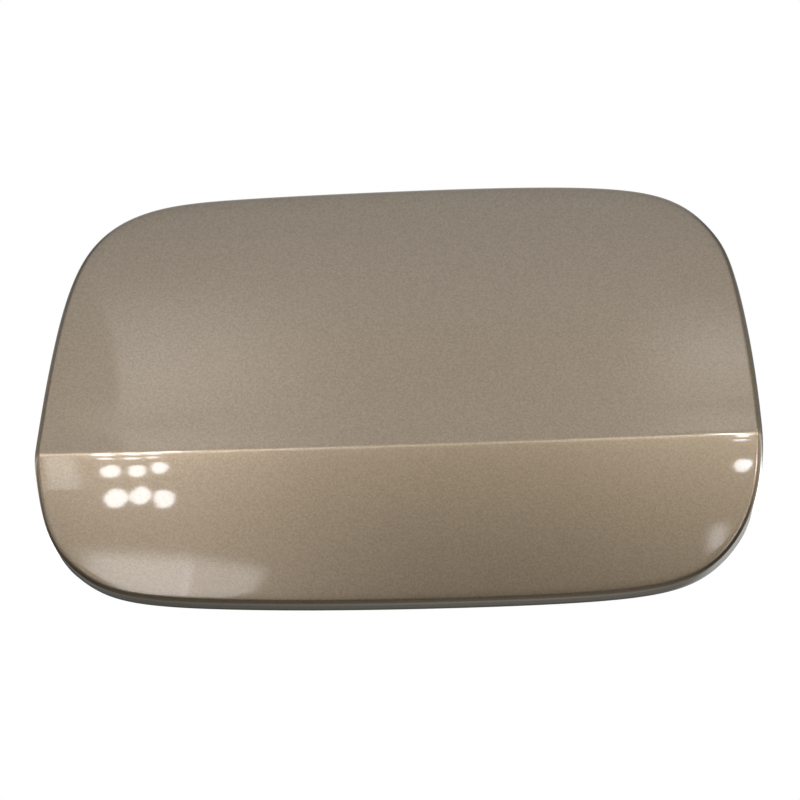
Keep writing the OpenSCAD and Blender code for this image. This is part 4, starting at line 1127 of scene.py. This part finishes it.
def glowing(name, ragged):
    """Clear, with the light of each point's glow; noise may eat into the edge of a lamp."""
    material, start, place = new_finish(name)
    glow = start.add("Attribute", {"attribute_name": "glow"}, output="Fac")
    if ragged:
        glow = LAMP_GLOW * (glow + RIM_NOISE * (noise(place, RIM_LUMP, 3.0, 0.7) - 0.5)).step(5.0, 9.0)
    light = start.add("Emission", {}, {"Color": (0.97, 0.98, 1.0, 1.0), "Strength": glow})
    clear = start.add("BsdfTransparent")
    start.add("OutputMaterial", {}, {"Surface": start.add("AddShader", {}, {0: clear, 1: light})})
    return material


panel_glow, lamp_glow = glowing("panel_glow", False), glowing("lamp_glow", True)


def lit_sheet(name, corners, glow, paint):
    """A sheet that only the gloss sees, with a glow for each of its corners."""
    thing = stage_sheet(name, corners, paint, glossy_only=True)
    values = thing.data.attributes.new("glow", "FLOAT", "POINT")
    values.data.foreach_set("value", glow.ravel().astype(np.float32))


def card(name, pixels, glow, paint):
    """A lit sheet whose grid of corners is seen at these pixels."""
    spot, ray = mirrored(pixels)
    lit_sheet(name, placed(spot + ray * CARD_REACH).reshape(spot.shape), glow, paint)


def oval(x, y, across, down, shares):
    """Rings of points round a place at these shares of the half widths, and their brightness."""
    ring = np.linspace(0, 2 * math.pi, 25)[None, :]
    share = np.array(shares)[:, None]
    fade = 1 - smooth(shares[1], shares[-1], share) + 0 * ring
    return x + across * share * np.cos(ring), y + down * share * np.sin(ring), fade


def lamp_at(name, azimuth, elevation, across, down, glow):
    """A soft oval card some metres off, by its direction and half widths in degrees."""
    az, el, fade = oval(azimuth, elevation, across, down, [0.0, 0.4, 0.7, 1.0, 1.3])
    way = direction(np.radians(az), np.radians(el))
    lit_sheet(name, ORIGIN + FAR_REACH * way, glow * fade, panel_glow)


def lamp_spot(name, x, y, across, down, glow):
    """A round lamp seen at a pixel, bright in its middle and fading at its rim."""
    columns, rows, fade = oval(x, y, across, down, [0.0, 0.55, 0.8, 1.0, 1.25])
    card(name, np.stack([columns, rows], axis=-1), glow * fade, lamp_glow)


STEPS = np.linspace(0, 1, 25)


def along(line):
    """Places at equal steps along a line of pixels."""
    corners = np.linspace(0, 1, len(line))
    return np.stack([np.interp(STEPS, corners, values) for values in np.transpose(line)], axis=-1)


def panel(name, left, right_side, glow, soft):
    """A panel between two lines of pixels; soft is the fading share left, right, top, bottom."""
    a, b = along(left)[:, None], along(right_side)[:, None]
    ends = soft[:2], soft[2:]
    across, down = [smooth(0, low, STEPS) * (1 - smooth(1 - high, 1, STEPS)) for low, high in ends]
    card(name, a + (b - a) * STEPS[:, None], glow * across * down[:, None], panel_glow)


# %% Lamps and panels of the photograph
for i, spot in enumerate([
    (110.5, 471.5, 11, 7), (137, 471, 10, 6.8), (160, 467.5, 9, 6),
    (116, 498, 12, 10.5), (141, 496, 11, 9.5), (164, 499, 11, 10),
    (742, 465.5, 9, 7), (749, 463.5, 4, 4),
]):
    lamp_spot("lamp_" + str(i), *spot, 16.0)
for i, spot in enumerate([
    (103, 454.8, 13, 1.5), (131, 454.0, 11, 1.6), (152, 453.2, 11, 1.5), (171, 451.8, 14, 0.8),
    (106, 458.6, 9, 1.1), (131, 458.2, 10, 1.1), (152, 457.2, 8, 1.0),
    (731, 434.0, 26, 0.8), (743, 435.8, 8, 1.8), (741, 440.0, 9, 1.1),
]):
    lamp_spot("crest_lamp_" + str(i), *spot, 14.0)
lamp_at("right_roll_lamp", 32, -6, 6, 1.6, 24.0)
lamp_at("right_roll_top", 32, 8, 6, 2.4, 12.0)
lamp_at("right_roll_low", 34, -24, 10, 9, 2.5)
lamp_at("left_roll_low", -44, -12, 9, 16, 1.2)
end_left, end_right = [(44, 457), (47, 491)], [(72, 456), (84, 474), (86, 489)]
panel("pale_left_end", end_left, end_right, 3.0, (0.05, 0.25, 0.06, 0.04))
panel("pale_low_left", [(62, 540), (84, 640)], [(198, 548), (184, 640)], 4.6, (0.30, 0.08, 0.22, 0.01))
panel("pale_low_middle", [(186, 546), (172, 640)], [(282, 562), (230, 640)], 3.3, (0.08, 0.20, 0.22, 0.01))
panel("pale_low_right", [(704, 520), (698, 562)], [(738, 514), (730, 554)], 5.0, (0.5, 0.5, 0.4, 0.4))
upper_left = [
    (72, 250), (84, 286), (98, 306), (107, 338), (112, 370), (116, 398), (104, 416), (80, 430), (56, 440)
]
panel("pale_upper_left", upper_left, [(380, 250), (380, 440)], 2.2, (0.03, 0.95, 0.75, 0.60))
panel("pale_upper_right", [(600, 280), (600, 436)], [(780, 280), (780, 430)], 1.9, (0.7, 0.2, 0.6, 0.6))
